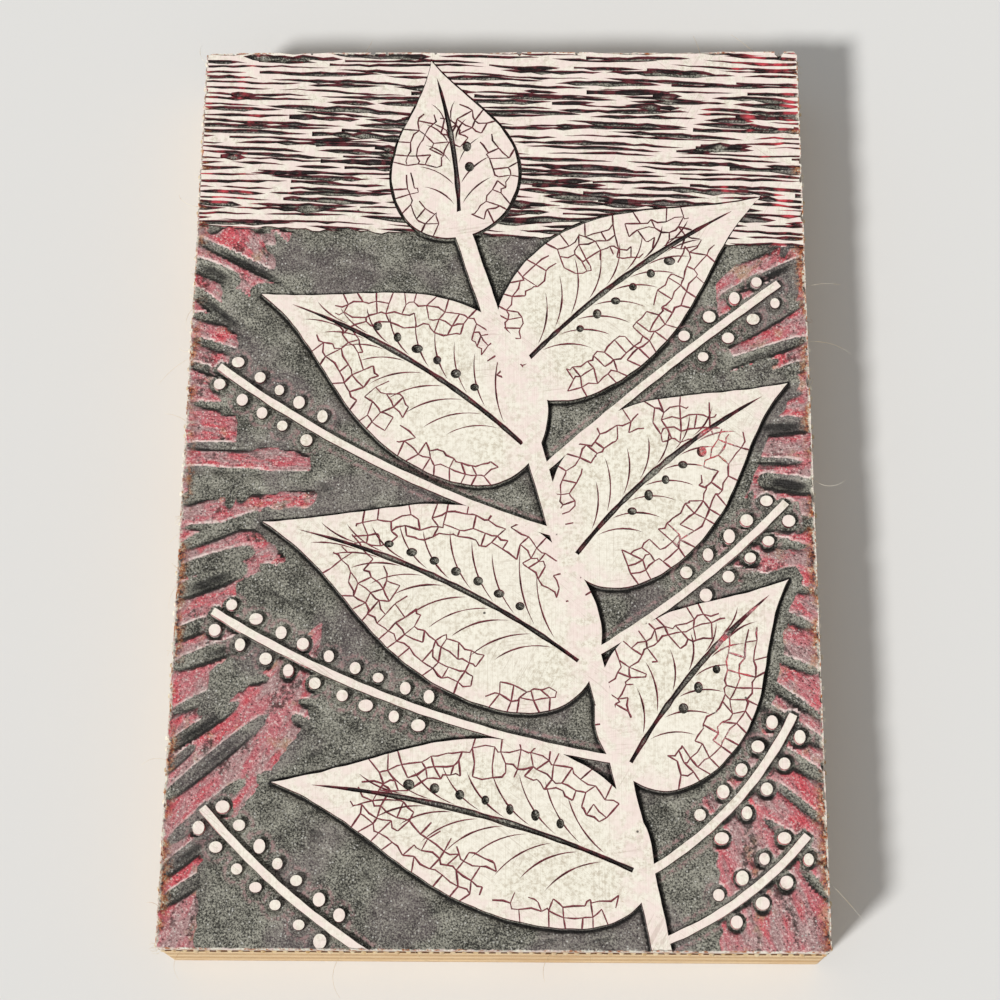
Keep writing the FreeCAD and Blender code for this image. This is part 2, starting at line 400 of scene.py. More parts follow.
def side_step(points: Sequence[Vector], index: int) -> Vector:
    """Unit vector square to a run of points, to its left, in the plane of the face.

    Args:
        points: The run.
        index: The point at which to measure.

    Returns:
        The unit vector.
    """
    before = points[max(index - 1, 0)]
    after = points[min(index + 1, len(points) - 1)]
    heading = (after - before).normalized()
    return Vector((-heading.y, heading.x, 0.0))


def outward(outline: Sequence[Vector], index: int) -> Vector:
    """Unit vector square to an anticlockwise outline at one of its points, pointing out of it."""
    heading = (outline[(index + 1) % len(outline)] - outline[index - 1]).normalized()
    return Vector((heading.y, -heading.x, 0.0))


def walk(points: Sequence[Vector], step: float) -> list[Vector]:
    """Space points evenly along a run.

    Args:
        points: The run.
        step: Distance between neighbours, about.

    Returns:
        The evenly spaced points, with the run's own ends.
    """
    lengths = [0.0]
    for first, second in zip(points, points[1:]):
        lengths.append(lengths[-1] + (second - first).length)
    count = max(2, round(lengths[-1] / step) + 1)
    places = np.linspace(0.0, lengths[-1], count)
    axes = [np.interp(places, lengths, [point[axis] for point in points]) for axis in range(3)]
    return [Vector(values) for values in zip(*axes)]


def hand_cut(points: Sequence[Vector], waver: float) -> list[Vector]:
    """Make a closed outline waver as a hand-held knife does.

    Args:
        points: The outline, anticlockwise.
        waver: Greatest sideways move.

    Returns:
        The moved outline.
    """
    wavelength = 3.5 * MM
    return [
        point + outward(points, index) * (waver * noise.noise(point / wavelength))
        for index, point in enumerate(points)
    ]


def lifted(outline: Iterable[Vector], lift: float) -> list[Vector]:
    """An outline moved up."""
    return [point + UP * lift for point in outline]


def divide(bm: bmesh.types.BMesh, phase: float) -> None:
    """Divide large flat faces along a square net, so that no face ends up with many holes.

    Args:
        bm: The bmesh.
        phase: Where the net lies, as a share of its spacing.
    """
    bmesh.ops.triangulate(bm, faces=bm.faces, ngon_method="EAR_CLIP")
    for axis in (Vector((1.0, 0.0, 0.0)), Vector((0.0, 1.0, 0.0))):
        places = [vert.co @ axis for vert in bm.verts]
        for step in range(math.ceil(min(places) / TILE) - 1, math.floor(max(places) / TILE) + 1):
            geometry = [*bm.verts, *bm.edges, *bm.faces]
            spot = axis * ((step + phase) * TILE)
            bmesh.ops.bisect_plane(bm, geom=geometry, plane_co=spot, plane_no=axis)


def island_mesh(outlines: Iterable[Sequence[Vector]], low: float, flare: float) -> bpy.types.Mesh:
    """Raise flat-topped islands whose walls spread towards their foot.

    Args:
        outlines: Closed outlines at the height of the tops.
        low: Height of the foot.
        flare: How far the foot stands out past the top.

    Returns:
        One closed mesh of all the islands.
    """
    bm = bmesh.new()
    for outline in outlines:
        corners = [bm.verts.new(point) for point in outline]
        rim = [bm.edges.new(pair) for pair in zip(corners, [*corners[1:], corners[0]])]
        top = bmesh.ops.edgeloop_fill(bm, edges=rim)["faces"]
        bmesh.ops.recalc_face_normals(bm, faces=top)
        foot = bmesh.ops.extrude_face_region(bm, geom=top, use_keep_orig=True)["geom"]
        ring = [item for item in foot if isinstance(item, bmesh.types.BMVert)]
        places = {tuple(round(value, 9) for value in point): index for index, point in enumerate(outline)}
        area = sum(a.x * b.y - a.y * b.x for a, b in zip(outline, [*outline[1:], outline[0]]))
        turn = math.copysign(1.0, area)
        for corner in ring:
            index = places[tuple(round(value, 9) for value in corner.co)]
            corner.co += outward(outline, index) * (turn * flare)
            corner.co.z = low
    divide(bm, 0.37)
    return mesh_from(bm, "islands")


@dataclass
class Stroke:
    """One pass of a cutting tool along the face."""

    route: list[Vector]
    half_width: float
    wobble: float = 0.0
    ends: Ends = Ends.POINTED

    CELL = 0.8 * MM

    def cells(self) -> set[tuple[int, int]]:
        """Squares of the face that the stroke touches.

        Returns:
            Column and row of each square.
        """
        reach = max(1, math.ceil(self.half_width / self.CELL))
        found = set()
        for point in walk(self.route, self.CELL / 2):
            column, row = round(point.x / self.CELL), round(point.y / self.CELL)
            for over in range(-reach, reach + 1):
                for along in range(-reach, reach + 1):
                    found.add((column + over, row + along))
        return found

    def widths(self) -> list[float]:
        """Half width at each point of the route, down to a point at a pointed end.

        Returns:
            The half widths.
        """
        last = len(self.route) - 1
        made = []
        for index, point in enumerate(self.route):
            share = index / last
            swell = math.sin(math.pi * share) ** 0.55
            if self.ends is Ends.BLUNT or (self.ends is Ends.BLUNT_START and share < 0.5):
                swell = max(0.75, swell)
            uneven = 1 + self.wobble * noise.noise(point / (3 * MM))
            made.append(self.half_width * max(0.06, swell * uneven))
        return made


def carve(piece: bpy.types.Object, strokes: Sequence[Stroke], section: Section, steepness: float) -> None:
    """Cut strokes into a piece, those that cross one another one after the other.

    Args:
        piece: The object that is cut.
        strokes: The strokes.
        section: The tool's section.
        steepness: Depth of the cut over its half width.
    """
    layers: list[list[Stroke]] = []
    taken: list[set[tuple[int, int]]] = []
    for stroke in strokes:
        cells = stroke.cells()
        for layer, used in zip(layers, taken):
            if not used & cells:
                layer.append(stroke)
                used |= cells
                break
        else:
            layers.append([stroke])
            taken.append(set(cells))
    for layer in layers:
        flat = [([Vector((*point.xy, 0.0)) for point in stroke.route], stroke.widths()) for stroke in layer]
        bm = sweep(flat, section, upright=True)
        bmesh.ops.remove_doubles(bm, verts=bm.verts, dist=1e-7)
        bmesh.ops.scale(bm, vec=(1.0, 1.0, steepness), verts=bm.verts)
        bmesh.ops.translate(bm, vec=UP * (BLOCK.face + CUTTER_LIFT), verts=bm.verts)
        combine(piece, mesh_from(bm, "cutters"), Merge.CUT)


class Leaf(NamedTuple):
    """One leaf: its foot on the face, its heading, and its size and bend as shares."""

    foot_shares: tuple[float, float]
    heading_degrees: float
    length_share: float
    width_share: float
    bend_share: float

    @property
    def length(self) -> float:
        """Length of the leaf from foot to tip."""
        return LEAF_LENGTH * self.length_share

    def spot(self, run: float, across: float, grown: float = 0.0) -> Vector:
        """Point of the leaf, which follows its bend.

        Args:
            run: Share of the way from foot to tip.
            across: Distance to the left of the midrib.
            grown: Border by which the leaf's length is grown at each end.

        Returns:
            The point, on the face.
        """
        angle = math.radians(self.heading_degrees)
        along = Vector((math.cos(angle), math.sin(angle), 0.0))
        side = Vector((-along.y, along.x, 0.0))
        length = self.length + 2 * grown
        sway = 4 * self.bend_share * run * (1 - run) * length
        return BLOCK.place(self.foot_shares) + along * (run * length - grown) + side * (sway + across)

    def edge(self, side: int, grown: float = 0.0) -> list[Vector]:
        """One edge from foot to tip.

        Args:
            side: 1 for the left edge, -1 for the right one.
            grown: Even border around the leaf.

        Returns:
            Points along the edge.
        """
        width = LEAF_WIDTH * self.width_share + 2 * grown
        poles = [self.spot(run, side * half * width, grown) for run, half in LEAF_EDGE_SHARES]
        return walk(spline_points(poles), 0.9 * MM)

    def outline(self, grown: float = 0.0) -> list[Vector]:
        """Closed outline of the leaf, anticlockwise, with an even border around it."""
        return self.edge(-1, grown) + self.edge(1, grown)[-2:0:-1]

    def half_width_at(self, run: float) -> float:
        """Distance from the midrib to the edge, part of the way along."""
        middle = self.spot(run, 0.0)
        return min((point - middle).length for point in self.edge(1))


class Twig(NamedTuple):
    """A berry twig: an arc in shares of the face, and the share of it where its berries begin."""

    shares: tuple[tuple[float, float], ...]
    berries_from: float

    def route(self) -> list[Vector]:
        """Middle line of the twig."""
        return walk(arc_points(*(BLOCK.place(point) for point in self.shares), 24), 1.0 * MM)

    def berries(self) -> list[Vector]:
        """Middles of the berries, two rows in step.

        Returns:
            The middles.
        """
        route = self.route()
        length = sum((b - a).length for a, b in zip(route, route[1:]))
        count = int(length * (1 - self.berries_from) / BERRY_PITCH)
        middles = []
        for number in range(count):
            share = self.berries_from + (1 - self.berries_from) * (number + 0.5) / count
            index = round(share * (len(route) - 1))
            for side in (1, -1):
                middles.append(route[index] + side_step(route, index) * (side * BERRY_OFFSET))
        return middles


# Leaves of the bough, in the order in which they leave the stem on each side
LEAF_SHARES = (
    Leaf((0.236, -0.429), 166.0, 1.00, 0.90, -0.05),
    Leaf((0.151, -0.219), 155.0, 0.97, 1.00, -0.06),
    Leaf((0.059, 0.017), 148.0, 0.89, 0.95, -0.06),
    Leaf((0.197, -0.324), 50.0, 0.68, 0.81, 0.05),
    Leaf((0.112, -0.105), 41.0, 0.79, 0.88, 0.06),
    Leaf((0.020, 0.105), 38.0, 0.88, 0.90, 0.05),
    Leaf((-0.066, 0.271), 99.0, 0.56, 0.72, -0.04),
)

TWIG_SHARES = (
    Twig(((0.19, -0.31), (-0.10, -0.262), (-0.44, -0.155)), 0.42),
    Twig(((0.095, -0.07), (-0.164, 0.0), (-0.45, 0.118)), 0.66),
    Twig(((0.151, -0.20), (0.289, -0.136), (0.455, -0.035)), 0.45),
    Twig(((0.072, 0.0), (0.23, 0.094), (0.455, 0.215)), 0.6),
    Twig(((0.225, -0.425), (0.341, -0.367), (0.455, -0.262)), 0.3),
    Twig(((0.255, -0.49), (0.354, -0.455), (0.47, -0.385)), 0.3),
    Twig(((-0.12, -0.53), (-0.29, -0.455), (-0.44, -0.36)), 0.3),
)


def band_outline(route: Sequence[Vector], width: float) -> list[Vector]:
    """Closed outline of a band of even width along a route, anticlockwise.

    Args:
        route: The band's middle line.
        width: Its width.

    Returns:
        The outline's points.
    """
    steps = [side_step(route, index) * (width / 2) for index in range(len(route))]
    left = [point + step for point, step in zip(route, steps)]
    right = [point - step for point, step in zip(route, steps)]
    return right + left[::-1]


def nearest_of(outlines: Iterable[Sequence[Vector]]) -> kdtree.KDTree:
    """Index the points of some outlines, so that the nearest one is quick to find.

    Args:
        outlines: The outlines.

    Returns:
        A tree of their points, at level zero.
    """
    points = [point for outline in outlines for point in outline]
    tree = kdtree.KDTree(len(points))
    for number, point in enumerate(points):
        tree.insert((point.x, point.y, 0.0), number)
    tree.balance()
    return tree


class Gouge(NamedTuple):
    """Strokes of one gouge: how unsteady their heading is, and their ranges in millimetres."""

    unsteady: float
    length: tuple[float, float]
    half_width: tuple[float, float]
    depth: tuple[float, float]


@dataclass
class ClearedGround:
    """The cleared ground of the sheet as a height field, cut by rounded gouge strokes."""

    shores: kdtree.KDTree
    reefs: kdtree.KDTree
    pitch: float = 0.75 * MM
    overrun: float = 1.0 * MM
    uncut_depth: float = 1.05 * MM
    moat_depth: float = 2.1 * MM
    moat_slope: float = 0.55
    reef_moat_depth: float = 1.75 * MM
    reef_moat_slope: float = 0.8
    margin_reach: float = 19 * MM
    margin_reach_more: float = 17 * MM
    margin_gap: float = 2.8 * MM
    margin_waver: float = 1.2 * MM
    spoke_width: float = 8.5 * MM
    channels: Gouge = Gouge(0.1, (12, 36), (1.1, 2.6), (1.3, 1.7))
    channel_spacing: tuple[float, float] = (5.5, 11.5)
    flutes: Gouge = Gouge(0.16, (3, 11), (0.7, 1.5), (0.7, 0.98))
    flute_insets: tuple[float, float] = (-2, 32)
    flute_count: int = 150
    scoops: Gouge = Gouge(0.45, (1.7, 5), (0.8, 1.6), (1.25, 1.6))
    scoop_reach: float = 26 * MM
    scoop_count: int = 1700
    end_rise: float = 0.9 * MM
    side_rise: float = 0.8 * MM
    chatter: float = 0.07 * MM
    chance: random.Random = field(default_factory=lambda: random.Random(11))

    def shore_distance(self, x: float, y: float) -> float:
        """Distance from a spot to the nearest leaf or stem."""
        return self.shores.find((x, y, 0.0))[2]

    def reef_distance(self, x: float, y: float) -> float:
        """Distance from a spot to the nearest twig or berry."""
        return self.reefs.find((x, y, 0.0))[2]

    def redness(self, x: float, y: float) -> float:
        """How far a spot lies in the shallow margins that hold red ink.

        Args:
            x: Distance across the face.
            y: Distance along the face.

        Returns:
            0 in the deep clearing, 1 well within a margin.
        """
        if y > BLOCK.field_edge(x):
            return 0.0
        edge = BLOCK.half_width - abs(x)
        spoke = math.atan2(y, abs(x)) * SPOKE_RADIUS
        step = noise.cell(Vector((spoke / self.spoke_width, math.copysign(3.3, x), 0.0)))
        ragged = self.margin_waver * noise.noise(Vector((x, y, 0.0)) / (3 * MM))
        inland = (self.margin_reach + self.margin_reach_more * step + ragged - edge) / (1.4 * MM)
        offshore = (self.shore_distance(x, y) - self.margin_gap + ragged) / (1.0 * MM)
        return max(0.0, min(1.0, inland, offshore))

    def stroke(self, gouge: Gouge, spot: Vector, heading: Vector, back: float) -> tuple:
        """One stroke through a spot.

        Args:
            gouge: The gouge.
            spot: The spot.
            heading: Unit heading of the stroke.
            back: How far it reaches behind the spot, as a share of its reach ahead.

        Returns:
            Its start, end, half width and lowest depth.
        """
        pick = self.chance.uniform
        reach = heading * pick(*gouge.length) * MM
        half_width = pick(*gouge.half_width) * MM
        return spot - reach * back, spot + reach, half_width, pick(*gouge.depth) * MM

    def spoke(self, gouge: Gouge, start: Vector) -> tuple:
        """One stroke from a spot towards the block's middle, not quite steady.

        Args:
            gouge: The gouge.
            start: The spot.

        Returns:
            Its start, end, half width and lowest depth.
        """
        turn = Matrix.Rotation(self.chance.gauss(0.0, gouge.unsteady), 3, "Z")
        inwards = (Vector((0.0, 0.25 * start.y, 0.0)) - start).normalized()
        return self.stroke(gouge, start, turn @ inwards, 0.0)

    def strokes(self) -> list[tuple]:
        """Gouge strokes: channels and flutes in the margins, then scoops round the islands.

        Returns:
            Start, end, half width and lowest depth of each stroke.
        """
        pick = self.chance.uniform
        made = []
        half_width, half_length = BLOCK.half_width, BLOCK.half_length
        for side in (-1, 1):
            y = -half_length
            while y < BLOCK.field_edge(side * half_width):
                y += pick(*self.channel_spacing) * MM
                made.append(self.spoke(self.channels, Vector((side * (half_width + 2 * MM), y, 0.0))))
            for _ in range(self.flute_count):
                across = side * (half_width - pick(*self.flute_insets) * MM)
                made.append(self.spoke(self.flutes, Vector((across, pick(-half_length, half_length), 0.0))))
        for _ in range(self.scoop_count):
            spot = Vector((pick(-half_width, half_width), pick(-half_length, half_length), 0.0))
            near, _, distance = self.shores.find(spot)
            if distance > self.scoop_reach or self.redness(spot.x, spot.y) > 0.3:
                continue
            away = (spot - near).normalized()
            lean = away * self.chance.gauss(0.0, self.scoops.unsteady)
            heading = (Vector((-away.y, away.x, 0.0)) + lean).normalized()
            made.append(self.stroke(self.scoops, spot, heading, 1.0))
        return made

    def depths(self, x: np.ndarray, y: np.ndarray) -> np.ndarray:
        """Depth of the ground below the face at many spots.

        Args:
            x: Distances across the face.
            y: Distances along the face.

        Returns:
            The depths.
        """
        red = np.array([self.redness(*spot) for spot in zip(x, y)])
        depth = MARGIN_DEPTH * red + self.uncut_depth * (1 - red)
        for start, end, half, lowest in self.strokes():
            low = np.minimum(start, end)[:2] - 2 * half
            high = np.maximum(start, end)[:2] + 2 * half
            near = np.flatnonzero((x > low[0]) & (x < high[0]) & (y > low[1]) & (y < high[1]))
            run = end - start
            share = ((x[near] - start.x) * run.x + (y[near] - start.y) * run.y) / run.length_squared
            inside = np.clip(share, 0.0, 1.0)
            away = np.hypot(x[near] - start.x - inside * run.x, y[near] - start.y - inside * run.y)
            lift = self.end_rise * (np.abs(2 * inside - 1) ** 3)
            depth[near] = np.maximum(depth[near], lowest - lift - self.side_rise * (away / half) ** 3)
        shore = np.array([self.shore_distance(*spot) for spot in zip(x, y)])
        reef = np.array([self.reef_distance(*spot) for spot in zip(x, y)])
        depth = np.maximum(depth, self.moat_depth - self.moat_slope * shore)
        depth = np.maximum(depth, self.reef_moat_depth - self.reef_moat_slope * reef)
        chatter = [noise.noise(Vector((a, b, 0.0)) / (1.3 * MM)) for a, b in zip(x, y)]
        return depth + self.chatter * np.array(chatter)

    def mesh(self) -> bpy.types.Mesh:
        """The ground as one closed slab with its carved surface on top.

        Returns:
            The mesh.
        """
        span_x, span_y = BLOCK.half_width + self.overrun, BLOCK.half_length + self.overrun
        columns, rows = (round(2 * span / self.pitch) for span in (span_x, span_y))
        bm = bmesh.new()
        bmesh.ops.create_grid(bm, x_segments=columns, y_segments=rows, size=1.0)
        bmesh.ops.scale(bm, vec=(span_x, span_y, 1.0), verts=bm.verts)
        places = np.array([vert.co[:2] for vert in bm.verts])
        for vert, depth in zip(bm.verts, self.depths(places[:, 0], places[:, 1])):
            vert.co.z = BLOCK.face - depth
        rim = [edge for edge in bm.edges if edge.is_boundary]
        for item in bmesh.ops.extrude_edge_only(bm, edges=rim)["geom"]:
            if isinstance(item, bmesh.types.BMVert):
                item.co.z = BLOCK.sheet_low
        bmesh.ops.contextual_create(bm, geom=[edge for edge in bm.edges if edge.is_boundary])
        return mesh_from(bm, "ground")


@dataclass
class HatchedField:
    """The field of long fine lines across the head of the sheet, their ranges in millimetres."""

    leaves: Sequence[Leaf]
    low: float
    overrun: float = 2 * MM
    pitch: float = 1.55 * MM
    half_widths: tuple[float, ...] = (0.36, 0.46, 0.56, 0.68, 0.84)
    lengths: tuple[float, float] = (12, 46)
    gaps: tuple[float, float] = (0.5, 3.5)
    tilt: float = 0.026
    sway: float = 0.5 * MM
    blunt_share: float = 0.3
    patch_count: int = 38
    patch_lengths: tuple[float, float] = (6, 22)
    patch_half_widths: tuple[float, float] = (0.6, 0.95)
    patch_tilt: float = 0.06
    seed: int = 5

    def outline(self) -> list[Vector]:
        """Closed outline, past the block's own edges, with a ragged lower edge.

        Returns:
            The outline's points, anticlockwise.
        """
        half, top = BLOCK.half_width + self.overrun, BLOCK.half_length + self.overrun
        face = BLOCK.face + 0.08 * MM
        count = 90
        lower = []
        for index in range(count + 1):
            x = -half + 2 * half * index / count
            ragged = 1.6 * MM * noise.noise(Vector((x / (4 * MM), 3.0, 0.0)))
            lower.append(Vector((x, BLOCK.field_edge(x) + ragged, face)))
        return lower + [Vector((half, top, face)), Vector((-half, top, face))]

    def strokes(self) -> list[Stroke]:
        """Long wavering strokes in rows, with gaps between them.

        Returns:
            The strokes.
        """
        chance = random.Random(self.seed)
        half = BLOCK.half_width
        made = []
        for row in range(round((HATCH_HEIGHT + 4 * MM) / self.pitch)):
            x = -half - chance.uniform(0, 20) * MM
            while x < half:
                length = chance.uniform(*self.lengths) * MM
                level = (row + 0.25 + chance.uniform(-0.22, 0.22)) * self.pitch
                tilt = chance.uniform(-self.tilt, self.tilt)
                count = max(4, round(length / (2.6 * MM)))
                route = []
                for index in range(count + 1):
                    run = length * index / count
                    place = x + run
                    wave = self.sway * noise.noise(Vector((place / (17 * MM), level / (5 * MM), 1.0)))
                    wave += chance.gauss(0.0, 0.09) * MM
                    route.append(Vector((place, BLOCK.field_edge(place) + level + wave + tilt * run, 0.0)))
                width = chance.choice(self.half_widths) * MM
                ends = Ends.BLUNT_START if chance.random() < self.blunt_share else Ends.POINTED
                made.append(Stroke(route, width, 0.75, ends))
                x += length + chance.uniform(*self.gaps) * MM
        return made

    def patches(self) -> list[Stroke]:
        """Short wide strokes where a ridge or two were cut away.

        Returns:
            The strokes.
        """
        chance = random.Random(self.seed + 1)
        made = []
        for _ in range(self.patch_count):
            x = chance.uniform(-0.5, 0.5) * BLOCK.width
            tilt = chance.uniform(-self.patch_tilt, self.patch_tilt)
            level = chance.uniform(0.02, 0.98) * HATCH_HEIGHT
            length = chance.uniform(*self.patch_lengths) * MM
            count = max(4, round(length / (2.5 * MM)))
            route = []
            for index in range(count + 1):
                place = x + length * index / count
                route.append(Vector((place, BLOCK.field_edge(place) + level + tilt * (place - x), 0.0)))
            ends = chance.choice((Ends.BLUNT_START, Ends.POINTED))
            made.append(Stroke(route, chance.uniform(*self.patch_half_widths) * MM, 0.9, ends))
        return made

    def build(self) -> bpy.types.Object:
        """Raise the field, cut its lines, and clear it around the leaves that reach in.

        Returns:
            The field as an object of its own, to be joined to the sheet.
        """
        piece = new_piece("field", island_mesh([self.outline()], self.low, 0.0))
        carve(piece, self.strokes(), Section.VEE, 1.5)
        carve(piece, self.patches(), Section.ROUND, 0.85)
        for leaf in self.leaves:
            moat = lifted(leaf.outline(MOAT_WIDTH), MM)
            combine(piece, island_mesh([moat], BLOCK.face - CLEARING_DEPTH, -0.4 * MM), Merge.CUT)
        return piece


@dataclass
class CarvedLinoleum:
    """The carved sheet of linoleum: cleared ground, bough and hatched field."""

    flare: float = 0.35 * MM
    foot: float = 2.3 * MM
    leaf_waver: float = 0.22 * MM
    stem_waver: float = 0.2 * MM
    twig_waver: float = 0.16 * MM
    rib_half_width: float = 0.75 * MM
    vein_half_width: float = 0.24 * MM
    net_half_widths: tuple[float, float] = (0.24, 0.33)
    vein_spacing: float = 7.0 * MM
    mesh_size: float = 3.5 * MM
    pit_offset: float = -3.4 * MM
    pit_depth: float = 1.85 * MM
    pit_flare: float = -0.62 * MM
    small_chips: tuple[tuple, ...] = ((0, 130, (-1, -1, 1), (0.35, 1.0)), (1, 26, (-1, 1), (0.3, 0.7)))
    seed: int = 3
    ground: ClearedGround = field(init=False)
    chance: random.Random = field(init=False)

    def __post_init__(self) -> None:
        """Lay out the cleared ground around the islands."""
        self.chance = random.Random(self.seed)
        twigs = [walk(band_outline(twig.route(), TWIG_WIDTH), 0.8 * MM) for twig in TWIG_SHARES]
        berries = [self.berry(middle) for twig in TWIG_SHARES for middle in twig.berries()]
        leaves = [leaf.outline() for leaf in LEAF_SHARES]
        self.ground = ClearedGround(nearest_of([self.stem(), *leaves]), nearest_of([*twigs, *berries]))

    def stem(self) -> list[Vector]:
        """Outline of the stem."""
        route = walk(arc_points(*(BLOCK.place(point) for point in STEM_SHARES), 60), 1.5 * MM)
        return band_outline(route, STEM_WIDTH)

    def berry(self, middle: Vector) -> list[Vector]:
        """Outline of one berry, not quite round.

        Args:
            middle: Its middle, on the face.

        Returns:
            The outline's points, anticlockwise.
        """
        sides = 14
        radius = BERRY_DIAMETER / 2 * self.chance.uniform(0.84, 1.12)
        squash = self.chance.uniform(0.86, 1.1)
        angles = [2 * math.pi * side / sides for side in range(sides)]
        return [middle + Vector((math.cos(a) * squash, math.sin(a) / squash, 0.0)) * radius for a in angles]

    def raised(self, outlines: Sequence[Sequence[Vector]], waver: float) -> bpy.types.Mesh:
        """Islands with hand-cut outlines, deep enough to stand in the ground."""
        wavering = (hand_cut(outline, waver) for outline in outlines)
        return island_mesh(wavering, BLOCK.face - self.foot, self.flare)

    def veinlet(self, start: Vector, end: Vector, stray: Vector) -> Stroke:
        """One veinlet of a net, its middle drawn aside."""
        route = [start, (start + end) / 2 + stray, end]
        return Stroke(route, self.chance.uniform(*self.net_half_widths) * MM, 0.3, Ends.BLUNT)

    def net_strokes(self, leaf: Leaf, side: int, rows: int, first: float, last: float) -> list[Stroke]:
        """Irregular net of veinlets along part of a leaf's edge.

        Args:
            leaf: The leaf.
            side: 1 for the left edge, -1 for the right one.
            rows: Rows of meshes.
            first: Share of the edge where the net starts.
            last: Share of the edge where it ends.

        Returns:
            The strokes.
        """
        pick = self.chance.uniform
        edge = walk(leaf.edge(side), self.mesh_size)
        knots = []
        for index in range(round(first * (len(edge) - 1)), round(last * (len(edge) - 1))):
            inwards = side_step(edge, index) * -side
            along = (edge[index + 1] - edge[index]).normalized()
            column = []
            for row in range(rows + 1):
                depth = 0.8 * self.mesh_size * (row + pick(-0.36, 0.36)) if row else -0.3 * MM
                column.append(edge[index] + inwards * depth + along * (pick(-0.34, 0.34) * self.mesh_size))
            knots.append(column)
        made = []
        for number, (column, after) in enumerate(zip(knots, knots[1:])):
            for row in range(1, rows + 1):
                if self.chance.random() < 0.98 - 0.07 * row:
                    stray = Vector((pick(-0.7, 0.7), pick(-0.7, 0.7), 0.0)) * MM
                    made.append(self.veinlet(column[row], after[row], stray))
            for row in range(rows):
                if self.chance.random() < (0.98 if (number + row) % 2 else 0.55):
                    made.append(self.veinlet(column[row], column[row + 1], Vector()))
        return made

    def leaf_net(self, leaf: Leaf) -> list[Stroke]:
        """Nets of veinlets along both edges of a leaf, wider in one part than in another.

        Args:
            leaf: The leaf.

        Returns:
            The strokes.
        """
        made = []
        for side in (1, -1):
            middle = self.chance.uniform(0.3, 0.7)
            parted = self.chance.random() < 0.6
            for rows, first, last in ((2, 0.1, middle), (4, middle, 0.86)) if parted else ((3, 0.2, 0.84),):
                made += self.net_strokes(leaf, side, rows, first, last)
        return made

    def side_veins(self, leaf: Leaf) -> list[Stroke]:
        """Fine veins that leave a leaf's midrib on both sides.

        Args:
            leaf: The leaf.

        Returns:
            The strokes.
        """
        made = []
        count = int(leaf.length / self.vein_spacing)
        for number in range(1, count):
            run = 0.06 + 0.8 * number / count
            for side in (1, -1):
                reach = self.chance.uniform(0.5, 0.66)
                tip_run = min(0.97, run + 0.13)
                half = leaf.half_width_at(tip_run)
                if half < 5 * MM:
                    continue
                start = leaf.spot(run, side * 0.9 * MM)
                bend = leaf.spot(run + 0.085, side * 0.5 * reach * half)
                end = leaf.spot(tip_run, side * reach * half)
                route = walk(arc_points(start, bend, end, 9), 1.6 * MM)
                made.append(Stroke(route, self.vein_half_width, 0.6))
        return made

    def pits(self, leaf: Leaf) -> list[list[Vector]]:
        """Outlines of the round pits drilled in a row beside a leaf's midrib.

        Args:
            leaf: The leaf.

        Returns:
            The outlines.
        """
        count = int(leaf.length / self.vein_spacing)
        made = []
        for number in range(2, max(4, count - 3)):
            run = 0.09 + 0.8 * (number + 0.5) / count
            middle = leaf.spot(run, self.pit_offset * self.chance.uniform(0.92, 1.1))
            made.append(lifted(self.berry(middle), MM))
        return made

    def make_leaf(self, leaf: Leaf, lift: float) -> bpy.types.Mesh:
        """One leaf with its veins cut, its top left proud of the face.

        Args:
            leaf: The leaf.
            lift: How far its top stands above the face.

        Returns:
            The leaf's mesh.
        """
        piece = new_piece("leaf", self.raised([lifted(leaf.outline(), lift)], self.leaf_waver))
        ribs = walk([leaf.spot(0.05 + 0.85 * index / 24, 0.0) for index in range(25)], 2.0 * MM)
        carve(piece, self.side_veins(leaf), Section.VEE, 1.3)
        carve(piece, self.leaf_net(leaf), Section.VEE, 0.85)
        carve(piece, [Stroke(ribs, self.rib_half_width, 0.4, Ends.BLUNT_START)], Section.ROUND, 1.2)
        combine(piece, island_mesh(self.pits(leaf), BLOCK.face - self.pit_depth, self.pit_flare), Merge.CUT)
        mesh = piece.data
        bpy.data.objects.remove(piece)
        return mesh

    def trim(self, sheet: bpy.types.Object) -> None:
        """Cut the sheet's sides straight, with rounded corners, and its tops level.

        Args:
            sheet: The sheet.
        """
        bm = bmesh.new()
        bmesh.ops.create_cube(bm, size=1.0)
        low = BLOCK.sheet_low - 1.0 * MM
        bmesh.ops.scale(bm, vec=(BLOCK.width, BLOCK.length, BLOCK.face - low), verts=bm.verts)
        bmesh.ops.translate(bm, vec=UP * (BLOCK.face + low) / 2, verts=bm.verts)
        upright = [edge for edge in bm.edges if abs(edge.verts[0].co.z - edge.verts[1].co.z) > 1 * MM]
        bmesh.ops.bevel(
            bm, geom=upright, offset=CORNER_ROUND, segments=5, profile=0.5, affect="EDGES", material=-1
        )
        divide(bm, 0.59)
        combine(sheet, mesh_from(bm, "trim"), Merge.KEEP)

